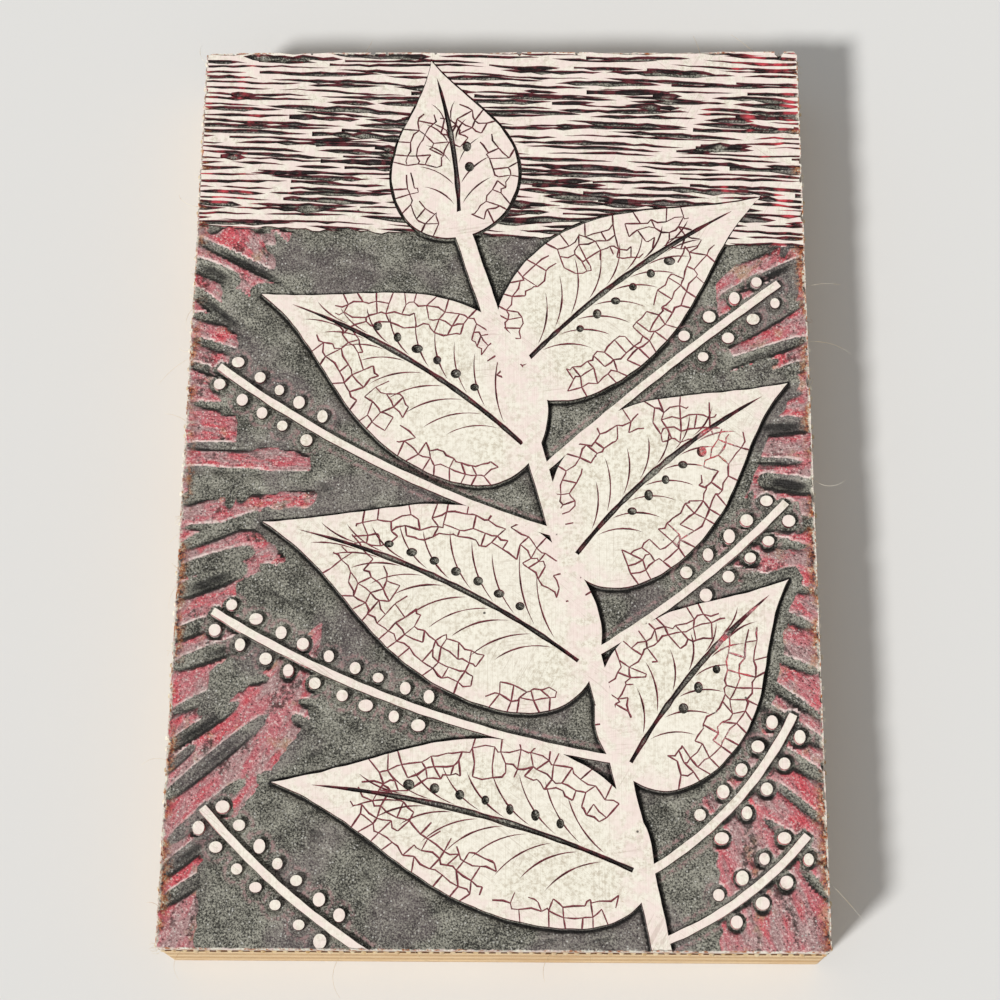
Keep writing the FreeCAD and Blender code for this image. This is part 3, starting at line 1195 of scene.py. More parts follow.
    def chip_mesh(self) -> bpy.types.Mesh:
        """Rough lumps where small chips have broken out of the sheet's edges.

        Returns:
            One closed mesh of all the lumps.
        """
        chance = random.Random(self.seed + 1)
        half = (BLOCK.half_width, BLOCK.half_length)
        places = []
        for axis, count, sides, sizes in self.small_chips:
            for _ in range(count):
                side = chance.choice(sides)
                size = chance.uniform(*sizes) * MM
                place = Vector((0.0, 0.0, 0.0))
                place[axis] = side * half[axis]
                place[1 - axis] = chance.uniform(-0.98, 0.98) * half[1 - axis]
                places.append((place, size))
        places += [(BLOCK.place(shares), size * MM) for *shares, size in CHIP_SHARES]
        taken: list[tuple[Vector, float]] = []
        bm = bmesh.new()
        for place, size in places:
            flat = place.to_2d()
            if any((flat - other).length < 2.4 * (size + reach) for other, reach in taken):
                continue
            taken.append((flat, size))
            made = bmesh.ops.create_icosphere(bm, subdivisions=2, radius=size)["verts"]
            for vert in made:
                rough = 1 + 0.45 * noise.noise(vert.co / size * 1.4 + place / MM)
                vert.co = Vector((vert.co.x, vert.co.y * 1.7, vert.co.z * 1.3)) * rough
            lift = BLOCK.face - chance.uniform(0.0, 1.2) * size
            bmesh.ops.translate(bm, vec=Vector((place.x, place.y, lift)), verts=made)
        return mesh_from(bm, "chips")

    def mark(self, mesh: bpy.types.Mesh) -> None:
        """Store how far each point lies in the red margins, and its distances in millimetres.

        Args:
            mesh: The sheet's finished mesh.
        """
        places = [vertex.co.xy for vertex in mesh.vertices]
        marks = {
            "margin": [self.ground.redness(*place) for place in places],
            "shore": [self.ground.shore_distance(*place) / MM for place in places],
            "reef": [self.ground.reef_distance(*place) / MM for place in places],
        }
        for name, values in marks.items():
            mesh.attributes.new(name, "FLOAT", "POINT").data.foreach_set("value", values)
        mesh.polygons.foreach_set("use_smooth", [True] * len(mesh.polygons))
        mesh.set_sharp_from_angle(angle=math.radians(30))

    def build(self) -> bpy.types.Object:
        """Carve the whole sheet.

        Returns:
            The sheet.
        """
        tips = ((leaf, leaf.spot(1.0, 0.0)) for leaf in LEAF_SHARES)
        in_field = [leaf for leaf, tip in tips if tip.y > BLOCK.field_edge(tip.x)]
        islands = HatchedField(in_field, BLOCK.face - self.foot).build()
        lifts = ((0.12 + 0.013 * order) * MM for order in range(100))
        for leaf in LEAF_SHARES:
            combine(islands, self.make_leaf(leaf, next(lifts)), Merge.ADD)
        bands = [(self.stem(), self.stem_waver)]
        bands += [(band_outline(twig.route(), TWIG_WIDTH), self.twig_waver) for twig in TWIG_SHARES]
        for outline, waver in bands:
            combine(islands, self.raised([lifted(outline, next(lifts))], waver), Merge.ADD)
        for twig in TWIG_SHARES:
            lift = next(lifts)
            berries = [self.berry(middle) for middle in lifted(twig.berries(), lift)]
            combine(islands, self.raised(berries, 0.0), Merge.ADD)
        sheet = new_piece("carved_linoleum", self.ground.mesh())
        made = islands.data
        bpy.data.objects.remove(islands)
        combine(sheet, made, Merge.ADD)
        self.trim(sheet)
        combine(sheet, self.chip_mesh(), Merge.CUT)
        self.mark(sheet.data)
        return sheet


def feed(socket: bpy.types.NodeSocket, value: object) -> None:
    """Link a socket to another, or set its own value.

    Args:
        socket: The input that is fed.
        value: A value, a tint, a number or a tuple.
    """
    if isinstance(value, Value):
        socket.id_data.links.new(value.socket, socket)
    else:
        socket.default_value = value.linear if isinstance(value, Tint) else value


def add_node(tree: bpy.types.NodeTree, kind: str, feeds: dict, **settings: object) -> bpy.types.Node:
    """Place a node.

    Args:
        tree: The tree that gets it.
        kind: The node's type.
        feeds: Values for its inputs, by name or number.
        **settings: Values for its own properties.

    Returns:
        The node.
    """
    made = tree.nodes.new(kind)
    for name, value in settings.items():
        setattr(made, name, value)
    for name, value in feeds.items():
        feed(made.inputs[name], value)
    return made


@dataclass(frozen=True)
class Value:
    """A node's output, with sums and textures of its own, so that a finish reads as a formula."""

    socket: bpy.types.NodeSocket

    def node(self, kind: str, feeds: dict, **settings: object) -> bpy.types.Node:
        """Place a node in the same tree."""
        return add_node(self.socket.id_data, kind, feeds, **settings)

    def math(self, operation: str, other: object = 0.0, swapped: bool = False) -> "Value":
        """Work out a number from this one and another, in either order."""
        feeds = {0: other, 1: self} if swapped else {0: self, 1: other}
        return Value(self.node("ShaderNodeMath", feeds, operation=operation).outputs[0])

    def __add__(self, other: object) -> "Value":
        """Add a number."""
        return self.math("ADD", other)

    def __sub__(self, other: object) -> "Value":
        """Take a number away."""
        return self.math("SUBTRACT", other)

    def __rsub__(self, other: object) -> "Value":
        """Take this away from a number."""
        return self.math("SUBTRACT", other, swapped=True)

    def __mul__(self, other: object) -> "Value":
        """Multiply by a number."""
        return self.math("MULTIPLY", other)

    def __truediv__(self, other: object) -> "Value":
        """Divide by a number."""
        return self.math("DIVIDE", other)

    def __rtruediv__(self, other: object) -> "Value":
        """Divide a number by this."""
        return self.math("DIVIDE", other, swapped=True)

    def __pow__(self, other: object) -> "Value":
        """Raise to a power."""
        return self.math("POWER", other)

    def __abs__(self) -> "Value":
        """Take the size without the sign."""
        return self.math("ABSOLUTE")

    def larger(self, other: object) -> "Value":
        """Take the larger of this and a number."""
        return self.math("MAXIMUM", other)

    def span(self, low: float, high: float, start: float = 0.0, end: float = 1.0) -> "Value":
        """Ease from one number to another while this goes from low to high.

        Args:
            low: Where the change begins.
            high: Where it ends.
            start: The number at low and below.
            end: The number at high and above.

        Returns:
            The eased number.
        """
        feeds = {"Value": self, "From Min": low, "From Max": high, "To Min": start, "To Max": end}
        made = self.node("ShaderNodeMapRange", feeds, interpolation_type="SMOOTHSTEP")
        return Value(made.outputs["Result"])

    def noise(self, scale: object, detail: float = 2.0, rough: float = 0.5) -> "Value":
        """Soft random values about 0.5 at these coordinates."""
        feeds = {"Vector": self, "Scale": scale, "Detail": detail, "Roughness": rough}
        return Value(self.node("ShaderNodeTexNoise", feeds).outputs["Fac"])

    def cells(self, scale: float) -> bpy.types.Node:
        """Random cells at these coordinates: the node, for its distance and colour."""
        return self.node("ShaderNodeTexVoronoi", {"Vector": self, "Scale": scale})

    def stretch(self, scale: tuple[float, float, float], turn: float = 0.0) -> "Value":
        """Turn these coordinates about the vertical, then scale them."""
        turned = Value(self.node("ShaderNodeVectorRotate", {"Vector": self, "Angle": turn}).outputs[0])
        return Value(self.node("ShaderNodeMapping", {"Vector": turned, "Scale": scale}).outputs[0])

    def parts(self) -> list["Value"]:
        """Split coordinates into across, along and up."""
        return [Value(socket) for socket in self.node("ShaderNodeSeparateXYZ", {"Vector": self}).outputs]

    def effect(self, name: str, feeds: dict) -> list["Value"]:
        """Place a shared effect at these coordinates."""
        made = self.node("ShaderNodeGroup", {"Vector": self, **feeds}, node_tree=bpy.data.node_groups[name])
        return [Value(socket) for socket in made.outputs]


def mix(share: object, first: object, second: object) -> Value:
    """Mix two colours, by the share of the second."""
    known = next(value for value in (share, first, second) if isinstance(value, Value))
    return Value(known.node("ShaderNodeMix", {0: share, 6: first, 7: second}, data_type="RGBA").outputs[2])


def joined(across: Value, along: Value, up: object = 0.0) -> Value:
    """Join three numbers into coordinates."""
    return Value(across.node("ShaderNodeCombineXYZ", {"X": across, "Y": along, "Z": up}).outputs[0])


@dataclass(frozen=True)
class Effect:
    """A shared effect: a node group with named inputs and outputs, and the formula between them."""

    name: str
    inputs: dict[str, float | None]
    outputs: tuple[str, ...]
    formula: Callable[..., tuple[Value, ...]]

    def build(self) -> None:
        """Make the group: an input without a value is coordinates."""
        tree = bpy.data.node_groups.new(self.name, "ShaderNodeTree")
        for name, value in self.inputs.items():
            kind = "NodeSocketVector" if value is None else "NodeSocketFloat"
            socket = tree.interface.new_socket(name, in_out="INPUT", socket_type=kind)
            if value is not None:
                socket.default_value = value
        for name in self.outputs:
            kind = "NodeSocketColor" if name == "Color" else "NodeSocketFloat"
            tree.interface.new_socket(name, in_out="OUTPUT", socket_type=kind)
        source, result = tree.nodes.new("NodeGroupInput"), tree.nodes.new("NodeGroupOutput")
        values = self.formula(*(Value(source.outputs[name]) for name in self.inputs))
        for name, value in zip(self.outputs, values):
            feed(result.inputs[name], value)


def specks(vector: Value, size: Value, cover: Value) -> tuple[Value, ...]:
    """Small specks of pigment with ragged edges.

    Args:
        vector: Coordinates.
        size: Size of the specks.
        cover: Share that they cover, about.

    Returns:
        Their mask.
    """
    scale = 1.0 / size
    drift = vector.noise(scale * 0.09, 1.0) - 0.5
    level = vector.noise(scale, 3.0, 0.65) + drift * 0.35
    return ((level - (0.78 - cover * 0.5)).span(-0.035, 0.045),)


def streaks(vector: Value, breadth: Value, length: Value) -> tuple[Value, ...]:
    """Brush or saw streaks that run along the second axis.

    Args:
        vector: Coordinates.
        breadth: Breadth of a streak.
        length: Its length.

    Returns:
        Their height.
    """
    across = 1.0 / breadth
    feeds = {0: vector, 1: joined(across, 1.0 / length, across)}
    scaled = vector.node("ShaderNodeVectorMath", feeds, operation="MULTIPLY")
    return (Value(scaled.outputs[0]).noise(1.0, 2.5, 0.6),)


def scratches(vector: Value, amount: Value) -> tuple[Value, ...]:
    """A few long hairline scratches in three directions.

    Args:
        vector: Coordinates.
        amount: Strength of the scratches.

    Returns:
        Their mask.
    """
    lines = []
    for turn, length in ((0.5, 40.0), (-0.9, 26.0), (1.45, 34.0)):
        line = abs(vector.stretch((1.1, 1 / length, 0.0), turn).noise(1.0, 1.0) - 0.5)
        patch = vector.noise(0.045 + 0.01 * turn, 1.0).span(0.56, 0.62)
        lines.append(line.span(0.0, 0.012, 1.0, 0.0) * patch)
    return (lines[0].larger(lines[1]).larger(lines[2]) * amount,)


def wood_grain(vector: Value, normal: Value, ring: Value) -> tuple[Value, ...]:
    """Peeled wood that grows along the second axis, its growth rings nearly flat.

    Args:
        vector: Coordinates.
        normal: The surface's heading, by which end grain is told.
        ring: Breadth of a growth ring.

    Returns:
        Its colour and its height.
    """
    across, _, up = vector.parts()
    sway = vector.stretch((0.03, 0.0045, 0.1)).noise(1.0, 1.5)
    growth = ((up + (across * 0.05 + sway * 9.0)) / ring).math("FRACT") ** 2.5
    fibre = vector.stretch((3.4, 0.1, 3.4)).noise(1.0, 3.0, 0.62)
    colour = mix((growth * 0.38 + fibre * 0.62).span(0.2, 0.8), Tint.WOOD_PALE, Tint.WOOD_DARK)
    pores = vector.stretch((4.6, 0.2, 4.6)).noise(1.0, 1.0).span(0.64, 0.72)
    colour = mix(pores * 0.4, colour, Tint.JUTE_DARK)
    end = abs(normal.parts()[1]).span(0.6, 0.8)
    cut = mix(vector.noise(1.5, 3.0, 0.7).span(0.36, 0.62), Tint.END_GRAIN, Tint.WOOD_DARK)
    return mix(end * 0.6, colour, cut), fibre - pores * 0.8


EFFECTS = (
    Effect("specks", {"Vector": None, "Size": 0.5, "Cover": 0.2}, ("Mask",), specks),
    Effect("streaks", {"Vector": None, "Breadth": 0.3, "Length": 14.0}, ("Height",), streaks),
    Effect("scratches", {"Vector": None, "Amount": 0.5}, ("Mask",), scratches),
    Effect("wood_grain", {"Vector": None, "Normal": None, "Ring": 1.1}, ("Color", "Height"), wood_grain),
)


@dataclass(frozen=True)
class Spot:
    """The piece's own coordinates in millimetres, whole and apart."""

    place: Value
    across: Value
    along: Value
    up: Value

    @classmethod
    def read(cls, tree: bpy.types.NodeTree) -> "Spot":
        """Read the coordinates in a material.

        Args:
            tree: The material's nodes.

        Returns:
            The coordinates.
        """
        own = Value(add_node(tree, "ShaderNodeTexCoord", {}).outputs["Object"])
        scaled = own.node("ShaderNodeVectorMath", {0: own, "Scale": 1 / MM}, operation="SCALE")
        place = Value(scaled.outputs[0])
        return cls(place, *place.parts())

    def noise(self, scale: object, detail: float = 2.0, rough: float = 0.5) -> Value:
        """Soft random values about 0.5."""
        return self.place.noise(scale, detail, rough)

    def held(self, name: str) -> Value:
        """What the mesh's points hold under a name."""
        return Value(self.place.node("ShaderNodeAttribute", {}, attribute_name=name).outputs["Fac"])

    def normal(self) -> Value:
        """The surface's heading in the piece's own axes."""
        return Value(self.place.node("ShaderNodeTexCoord", {}).outputs["Normal"])

    def fan(self) -> Value:
        """Coordinates that fan out from the block's middle: round it, then away from it."""
        reach = abs(self.across)
        return joined(self.along.math("ARCTAN2", reach) * SPOKE_RADIUS_IN_INK, reach)


def bump(shader: bpy.types.Node, height: Value, strength: float, depth: float) -> None:
    """Give a shader a bumpy surface: depth is what a height of 1 stands for."""
    feeds = {"Height": height, "Strength": strength, "Distance": depth}
    feed(shader.inputs["Normal"], Value(height.node("ShaderNodeBump", feeds).outputs[0]))


@dataclass(frozen=True)
class Finish:
    """A material's name and its shader's even values."""

    name: str
    roughness: float = 0.7
    specular: float = 0.35

    def make(self) -> bpy.types.Material:
        """Make the material and paint it.

        Returns:
            The material.
        """
        material = bpy.data.materials.new(self.name)
        material.use_nodes = True
        shader = material.node_tree.nodes["Principled BSDF"]
        shader.inputs["Roughness"].default_value = self.roughness
        shader.inputs["Specular IOR Level"].default_value = self.specular
        self.paint(shader, Spot.read(material.node_tree))
        return material

    def paint(self, shader: bpy.types.Node, at: Spot) -> None:
        """Feed the shader what changes over the surface."""
        raise NotImplementedError


@dataclass(frozen=True)
class InkedLinoleum(Finish):
    """Linoleum with a pale ground coat on its uncut face and printing ink in its cuts, with painted shade
    and painted highlights on the cut relief.
    """

    def paint(self, shader: bpy.types.Node, at: Spot) -> None:
        """Tell coat, cuts and sides by the depth below the face.

        Args:
            shader: The shader.
            at: Coordinates.
        """
        depth = BLOCK.face / MM - at.up
        coat, coat_height = self.ground_coat(at)
        below = (depth + (at.noise(1.6) - 0.5) * 0.1).span(0.02, 0.06)
        colour, side = self.side_colour(at, depth, mix(below, coat, self.cut_colour(at, depth)))
        feed(shader.inputs["Base Color"], colour)
        rough = at.noise(2.2).span(0.35, 0.65, 0.38, 0.62)
        feed(shader.inputs["Roughness"], rough * below.span(0.0, 1.0, 0.62, 1.0) ** -0.6)
        furrows = at.fan().effect("streaks", {"Breadth": 1.5, "Length": 5.0})[0] - 0.5
        pebbles = at.noise(1.9, 4.0, 0.7) + furrows * (at.held("margin") * 1.8)
        bump(shader, below.larger(side) * pebbles + coat_height * 0.12, 1.0, 0.45 * MM)

    def ground_coat(self, at: Spot) -> tuple[Value, Value]:
        """Pale coat on the uncut face: mottled, streaked, tinted pink near its edges.

        Args:
            at: Coordinates.

        Returns:
            The coat's colour and its height.
        """
        colour = mix(at.noise(0.85, 4.0, 0.8).span(0.35, 0.58), Tint.CREAM_SHADE, Tint.CREAM)
        colour = mix(at.noise(0.07).span(0.38, 0.64) * 0.55, colour, Tint.CREAM_LIGHT)
        brush = at.place.effect("streaks", {"Breadth": 0.32, "Length": 15.0})[0]
        colour = mix(brush.span(0.54, 0.74, 0.0, 0.5), colour, Tint.CREAM_SHADE)
        near = at.held("shore").span(0.5, 6.0, 0.8, 0.0).larger(at.held("reef").span(1.2, 1.8, 0.75, 0.0))
        blush = near.larger(at.along.span(52.0, 66.0, 0.0, 0.85))
        patch = at.noise(0.33, 3.0, 0.65).span(0.36, 0.62, 0.1, 1.0)
        colour = mix(blush * patch, colour, Tint.PINK_WHITE)
        scratch = at.place.effect("scratches", {"Amount": 0.22})[0]
        colour = mix(scratch, colour, Tint.JUTE_DARK)
        nick = Value(at.place.cells(0.075).outputs["Distance"]).span(0.018, 0.03, 0.85, 0.0)
        colour = mix(nick, colour, Tint.DARK_BROWN)
        dots = at.place.effect("specks", {"Size": 0.9, "Cover": 0.05})[0]
        return mix(dots * 0.4, colour, Tint.WOOD_DARK), brush - scratch * 0.8

    def grit(self, at: Spot) -> Value:
        """Coarse speckled paint on the cleared ground.

        Args:
            at: Coordinates.

        Returns:
            The colour.
        """
        level = at.noise(2.3, 4.0, 0.78) + (at.noise(0.16, 3.0, 0.6) - 0.5) * 0.3
        colour = mix(level.span(0.39, 0.63), Tint.GRIT_DARK, Tint.GRIT_PALE)
        colour = mix(at.noise(0.05).span(0.48, 0.62, 0.0, 0.4), colour, Tint.GRIT_MAUVE)
        return self.glints(at, colour, 0.42)

    def glints(self, at: Spot, colour: Value, share: float) -> Value:
        """Small pale grains, partly painted glints of light and partly pale specks of paint, and dark pits
        scattered over a colour.

        Args:
            at: Coordinates.
            colour: The colour beneath.
            share: Share of the grains that are pale.

        Returns:
            The colour.
        """
        cell = at.place.cells(1.25)
        draw = at.place.node("ShaderNodeSeparateColor", {0: Value(cell.outputs["Color"])}).outputs
        first, second = Value(draw[0]), Value(draw[1])
        grain = Value(cell.outputs["Distance"]).span(0.2, 0.34, 1.0, 0.0)
        pale = grain * first.math("LESS_THAN", share)
        # Pale grains: partly painted glints, partly pale specks of paint
        colour = mix(pale * second.span(0.0, 1.0, 0.2, 0.85), colour, Tint.GLINT)
        return mix(grain * first.math("GREATER_THAN", 0.72) * 0.7, colour, Tint.BLACK_INK_AND_SHADE)

    def rose_ink(self, at: Spot) -> Value:
        """Red and mauve ink in streaks that fan out from the block's middle.

        Args:
            at: Coordinates.

        Returns:
            The colour.
        """
        fan = at.fan()
        streak = fan.effect("streaks", {"Breadth": 4.2, "Length": 9.0})[0]
        fine = fan.effect("streaks", {"Breadth": 1.1, "Length": 2.6})[0]
        blend = streak * 0.7 + fine * 0.3
        colour = mix(blend.span(0.42, 0.56), Tint.MAUVE, Tint.ROSE)
        hot = (blend + at.noise(0.09) * 0.5).span(0.76, 0.9)
        colour = mix(hot * 0.85, colour, Tint.RED)
        colour = mix(at.noise(0.14, 3.0, 0.6).span(0.57, 0.7, 0.0, 0.6), colour, Tint.OCHRE)
        grain = at.noise(1.7, 4.0, 0.75)
        colour = mix(grain.span(0.52, 0.66, 0.0, 0.75), colour, Tint.PINK_WHITE)
        colour = mix(grain.span(0.34, 0.46, 0.75, 0.0), colour, Tint.MAROON)
        worn = (fan.noise(0.16) + grain * 0.3).span(0.52, 0.6, 0.75, 0.0)
        worn = worn * at.noise(0.8, 3.0, 0.7).span(0.42, 0.54)
        return self.glints(at, mix(worn, colour, Tint.GRIT_DARK), 0.3)

    def cut_colour(self, at: Spot, depth: Value) -> Value:
        """Ink in the cuts: maroon and brown in shallow ones, grit in deep ones, rose on the margins; the
        deepest cuts turn black with ink and painted shade, walls turned from the light get painted shade and
        crests turned to it a painted highlight.

        Args:
            at: Coordinates.
            depth: Depth below the face, in millimetres.

        Returns:
            The colour.
        """
        share = at.noise(0.3) + depth.span(0.06, 0.36, 0.2, 0.0)
        seam = mix(share.span(0.5, 0.66), Tint.DARK_BROWN, Tint.MAROON)
        pale = share.span(0.5, 0.62, 0.55, 0.95) * depth.span(0.16, 0.34, 1.0, 0.0)
        seam = mix(pale * at.along.span(54.0, 62.0, 1.0, 0.3), seam, Tint.WINE)
        lively = abs(at.across).span(38.0, 74.0) * 0.17
        red_run = (at.noise(0.13, 3.0, 0.6) + lively).span(0.68, 0.84)
        seam = mix(red_run * at.along.span(54.0, 62.0), seam, Tint.RED)
        colour = mix(depth.span(0.55, 0.85), seam, self.grit(at))
        # The deepest cuts, the moats at the islands' feet, turn black: partly ink, partly painted shade
        colour = mix(depth.span(1.42, 1.68, 0.0, 0.94), colour, Tint.BLACK_INK_AND_SHADE)
        margin = at.held("margin")
        ragged = (at.noise(0.9, 3.0, 0.6) - 0.5) * 0.4
        red = margin.span(0.35, 0.6) * (depth + ragged).span(0.88, 1.02, 1.0, 0.0)
        facing = at.normal().parts()[1]
        # Painted highlight: crests of the margins' walls that face the light are paled to pink-white
        lit_crest_highlight = facing.span(-0.4, -0.1, 1.0, 0.0) * depth.span(0.62, 0.76)
        lit_crest_highlight = lit_crest_highlight * at.noise(0.7, 3.0, 0.65).span(0.4, 0.54, 0.15, 0.85)
        rose = mix(lit_crest_highlight, self.rose_ink(at), Tint.PINK_WHITE)
        # Painted shade: margin walls that face along the block, away from the light from the lower left, are
        # darkened to black
        painted_wall_shade = facing.span(0.14, 0.4, 0.0, 0.9) * depth.span(0.58, 0.74) * margin.span(0.02, 0.2)
        reef = at.held("reef")
        ring = reef.span(1.1, 1.5) * reef.span(1.7, 2.6, 1.0, 0.0)
        ring = ring * at.noise(0.9, 4.0, 0.7).span(0.42, 0.6, 0.0, 0.7)
        colour = mix(ring * depth.span(0.3, 0.6), colour, Tint.MAUVE)
        return mix(painted_wall_shade, mix(red, colour, rose), Tint.BLACK_INK_AND_SHADE)

    def side_colour(self, at: Spot, depth: Value, colour: Value) -> tuple[Value, Value]:
        """Cut sides of the sheet, and the crumbled ink along its long edges, with painted shade in its holes
        and painted highlights on its lumps.

        Args:
            at: Coordinates.
            depth: Depth below the face, in millimetres.
            colour: The colour everywhere else.

        Returns:
            The colour with its sides, and the sides' mask.
        """
        inset = 0.5
        beyond_x = abs(at.across) - (BLOCK.half_width / MM - inset)
        beyond_y = abs(at.along) - (BLOCK.half_length / MM - inset)
        ragged = at.noise(0.8) * 0.7
        side = (beyond_x.larger(beyond_y) + ragged).span(0.4, 0.75)
        body = mix(at.noise(0.35, 3.0, 0.6).span(0.42, 0.58), Tint.PINK_WHITE, Tint.RUST)
        body = mix(at.noise(1.1).span(0.4, 0.62), body, Tint.CREAM)
        body = mix(depth.span(0.0, 3.2, 0.0, 0.45), body, Tint.JUTE_DARK)
        inland = beyond_x * -1.0
        crumbs = at.noise(0.9, 4.0, 0.75)
        # Crumbs along the long edges: burnt, rust and ochre lumps, with painted shade in black in the holes
        # between them and painted highlights in cream on their tops
        crumb_lit_and_shaded = mix(crumbs.span(0.42, 0.47), Tint.BLACK_INK_AND_SHADE, Tint.BURNT)
        for low, high, tint in ((0.48, 0.53, Tint.RUST), (0.55, 0.59, Tint.OCHRE), (0.61, 0.65, Tint.CREAM)):
            crumb_lit_and_shaded = mix(crumbs.span(low, high), crumb_lit_and_shaded, tint)
        low = depth.span(0.3, 0.5)
        rim = (inland + ragged * 4.0).span(1.0, 4.2, 1.0, 0.0)
        colour = mix(rim * at.noise(0.085, 3.0, 0.65).span(0.47, 0.56) * low, colour, crumb_lit_and_shaded)
        lip = (inland + ragged * 3.0).span(0.9, 1.5, 1.0, 0.0) * at.noise(0.4, 3.0, 0.7).span(0.42, 0.52)
        edging = mix(crumbs.span(0.42, 0.52), Tint.BLACK_INK_AND_SHADE, Tint.CREAM_SHADE)
        colour = mix(lip * low, colour, mix(0.35, edging, Tint.CREAM))
        return mix(side, colour, body), side


@dataclass(frozen=True)
class Plywood(Finish):
    """Bare wood whose grain runs along or across the block."""

    crosswise: bool = False
    ring: float = 1.1

    def paint(self, shader: bpy.types.Node, at: Spot) -> None:
        """Paint the grain, with smudges and a few specks of ink.

        Args:
            shader: The shader.
            at: Coordinates.
        """
        turn = math.pi / 2 if self.crosswise else 0.0
        whole = (1.0, 1.0, 1.0)
        feeds = {"Normal": at.normal().stretch(whole, turn), "Ring": self.ring}
        grain, height = at.place.stretch(whole, turn).effect("wood_grain", feeds)
        colour = mix(at.noise(0.035, 3.0, 0.6).span(0.5, 0.68, 0.0, 0.45), grain, Tint.WOOD_DARK)
        ink = at.place.effect("specks", {"Size": 2.2, "Cover": 0.12})[0]
        feed(shader.inputs["Base Color"], mix(ink * 0.55, colour, Tint.MAROON))
        bump(shader, height, 0.6, 0.25 * MM)


@dataclass(frozen=True)
class DriedGlue(Finish):
    """Dried brown glue."""

    def paint(self, shader: bpy.types.Node, at: Spot) -> None:
        """Paint the glue's uneven brown.

        Args:
            shader: The shader.
            at: Coordinates.
        """
        shade = at.noise(0.6, 3.0).span(0.35, 0.65)
        feed(shader.inputs["Base Color"], mix(shade, Tint.GLUE, Tint.JUTE_DARK))
        bump(shader, at.noise(2.5, 3.0), 0.5, 0.2 * MM)


@dataclass(frozen=True)
class JuteThread(Finish):
    """Coarse jute thread, stained where it was glued and painted over at the long sides."""

    def paint(self, shader: bpy.types.Node, at: Spot) -> None:
        """Paint the fibres, the stains and the paint.

        Args:
            shader: The shader.
            at: Coordinates.
        """
        colour = mix(at.noise(0.4, 3.0, 0.6).span(0.35, 0.65), Tint.JUTE, Tint.JUTE_PALE)
        fibre = at.place.stretch((6.0, 6.0, 6.0), 0.6).noise(1.0, 3.0, 0.7)
        colour = mix(fibre.span(0.55, 0.75, 0.0, 0.5), colour, Tint.JUTE_DARK)
        stain = at.noise(0.16, 3.0, 0.6).span(0.4, 0.56, 0.15, 0.92)
        brink = BLOCK.half_width / MM
        sides = abs(at.across).span(brink - 1.5, brink - 0.5, 0.25, 1.0)
        colour = mix(stain * sides, colour, Tint.CREAM)
        colour = mix(at.noise(0.21, 3.0, 0.6).span(0.6, 0.68, 0.0, 0.7), colour, Tint.RUST)
        feed(shader.inputs["Base Color"], colour)
        bump(shader, fibre, 0.8, 0.2 * MM)


def dress(piece: bpy.types.Object, material: bpy.types.Material) -> None:
    """Give a piece its finish."""
    piece.data.materials.clear()
    piece.data.materials.append(material)


@dataclass
class JuteCanvas:
    """The woven jute that the linoleum is cast on, its cut threads showing at the sides."""

    pitch: float = 2.5 * MM
    half_breadth: float = 0.62 * MM
    half_thick: float = 0.22 * MM
    overhang: float = 0.75 * MM
    sway: float = 0.12 * MM
    chance: random.Random = field(default_factory=lambda: random.Random(8))

    def routes(self) -> list[list[Vector]]:
        """Every thread's middle line, over and under its neighbours, about level zero.

        Returns:
            The routes, lengthwise threads first.
        """
        lift = (BLOCK.sheet_low - BLOCK.jute_low) / 2 - self.half_thick
        spans = (BLOCK.width, BLOCK.length)
        counts = tuple(int(span / self.pitch) for span in spans)
        made = []
        for axis, other in ((0, 1), (1, 0)):
            for number in range(counts[axis]):
                place = (number + 0.5 - counts[axis] / 2) * spans[axis] / counts[axis]
                reach = self.overhang if axis else 0.4 * self.overhang
                ends = [spans[other] / 2 + self.chance.uniform(-0.3, 1.0) * reach for _ in range(2)]
                route = []
                for step in range(-1, counts[other] + 1):
                    along = (step + 0.5 - counts[other] / 2) * spans[other] / counts[other]
                    along = max(-ends[0], min(ends[1], along))
                    point = Vector((0.0, 0.0, lift * (1 if (number + step + axis) % 2 else -1)))
                    point[axis] = place + self.sway * noise.noise(Vector((place, along, axis)) / (6 * MM))
                    point[other] = along
                    route.append(point)
                made.append(route)
        return made

    def build(self) -> bpy.types.Object:
        """Weave the canvas from threads of a flattened section.

        Returns:
            The canvas.
        """
        flatness = self.half_thick / self.half_breadth
        routes = []
        for route in self.routes():
            tall = [Vector((point.x, point.y, point.z / flatness)) for point in route]
            routes.append((tall, [self.half_breadth] * len(tall)))
        bm = sweep(routes, Section.THREAD, upright=True)
        bmesh.ops.scale(bm, vec=(1.0, 1.0, flatness), verts=bm.verts)
        bmesh.ops.translate(bm, vec=UP * BLOCK.jute_level, verts=bm.verts)
        return new_piece("woven_jute", mesh_from(bm, "woven_jute"))


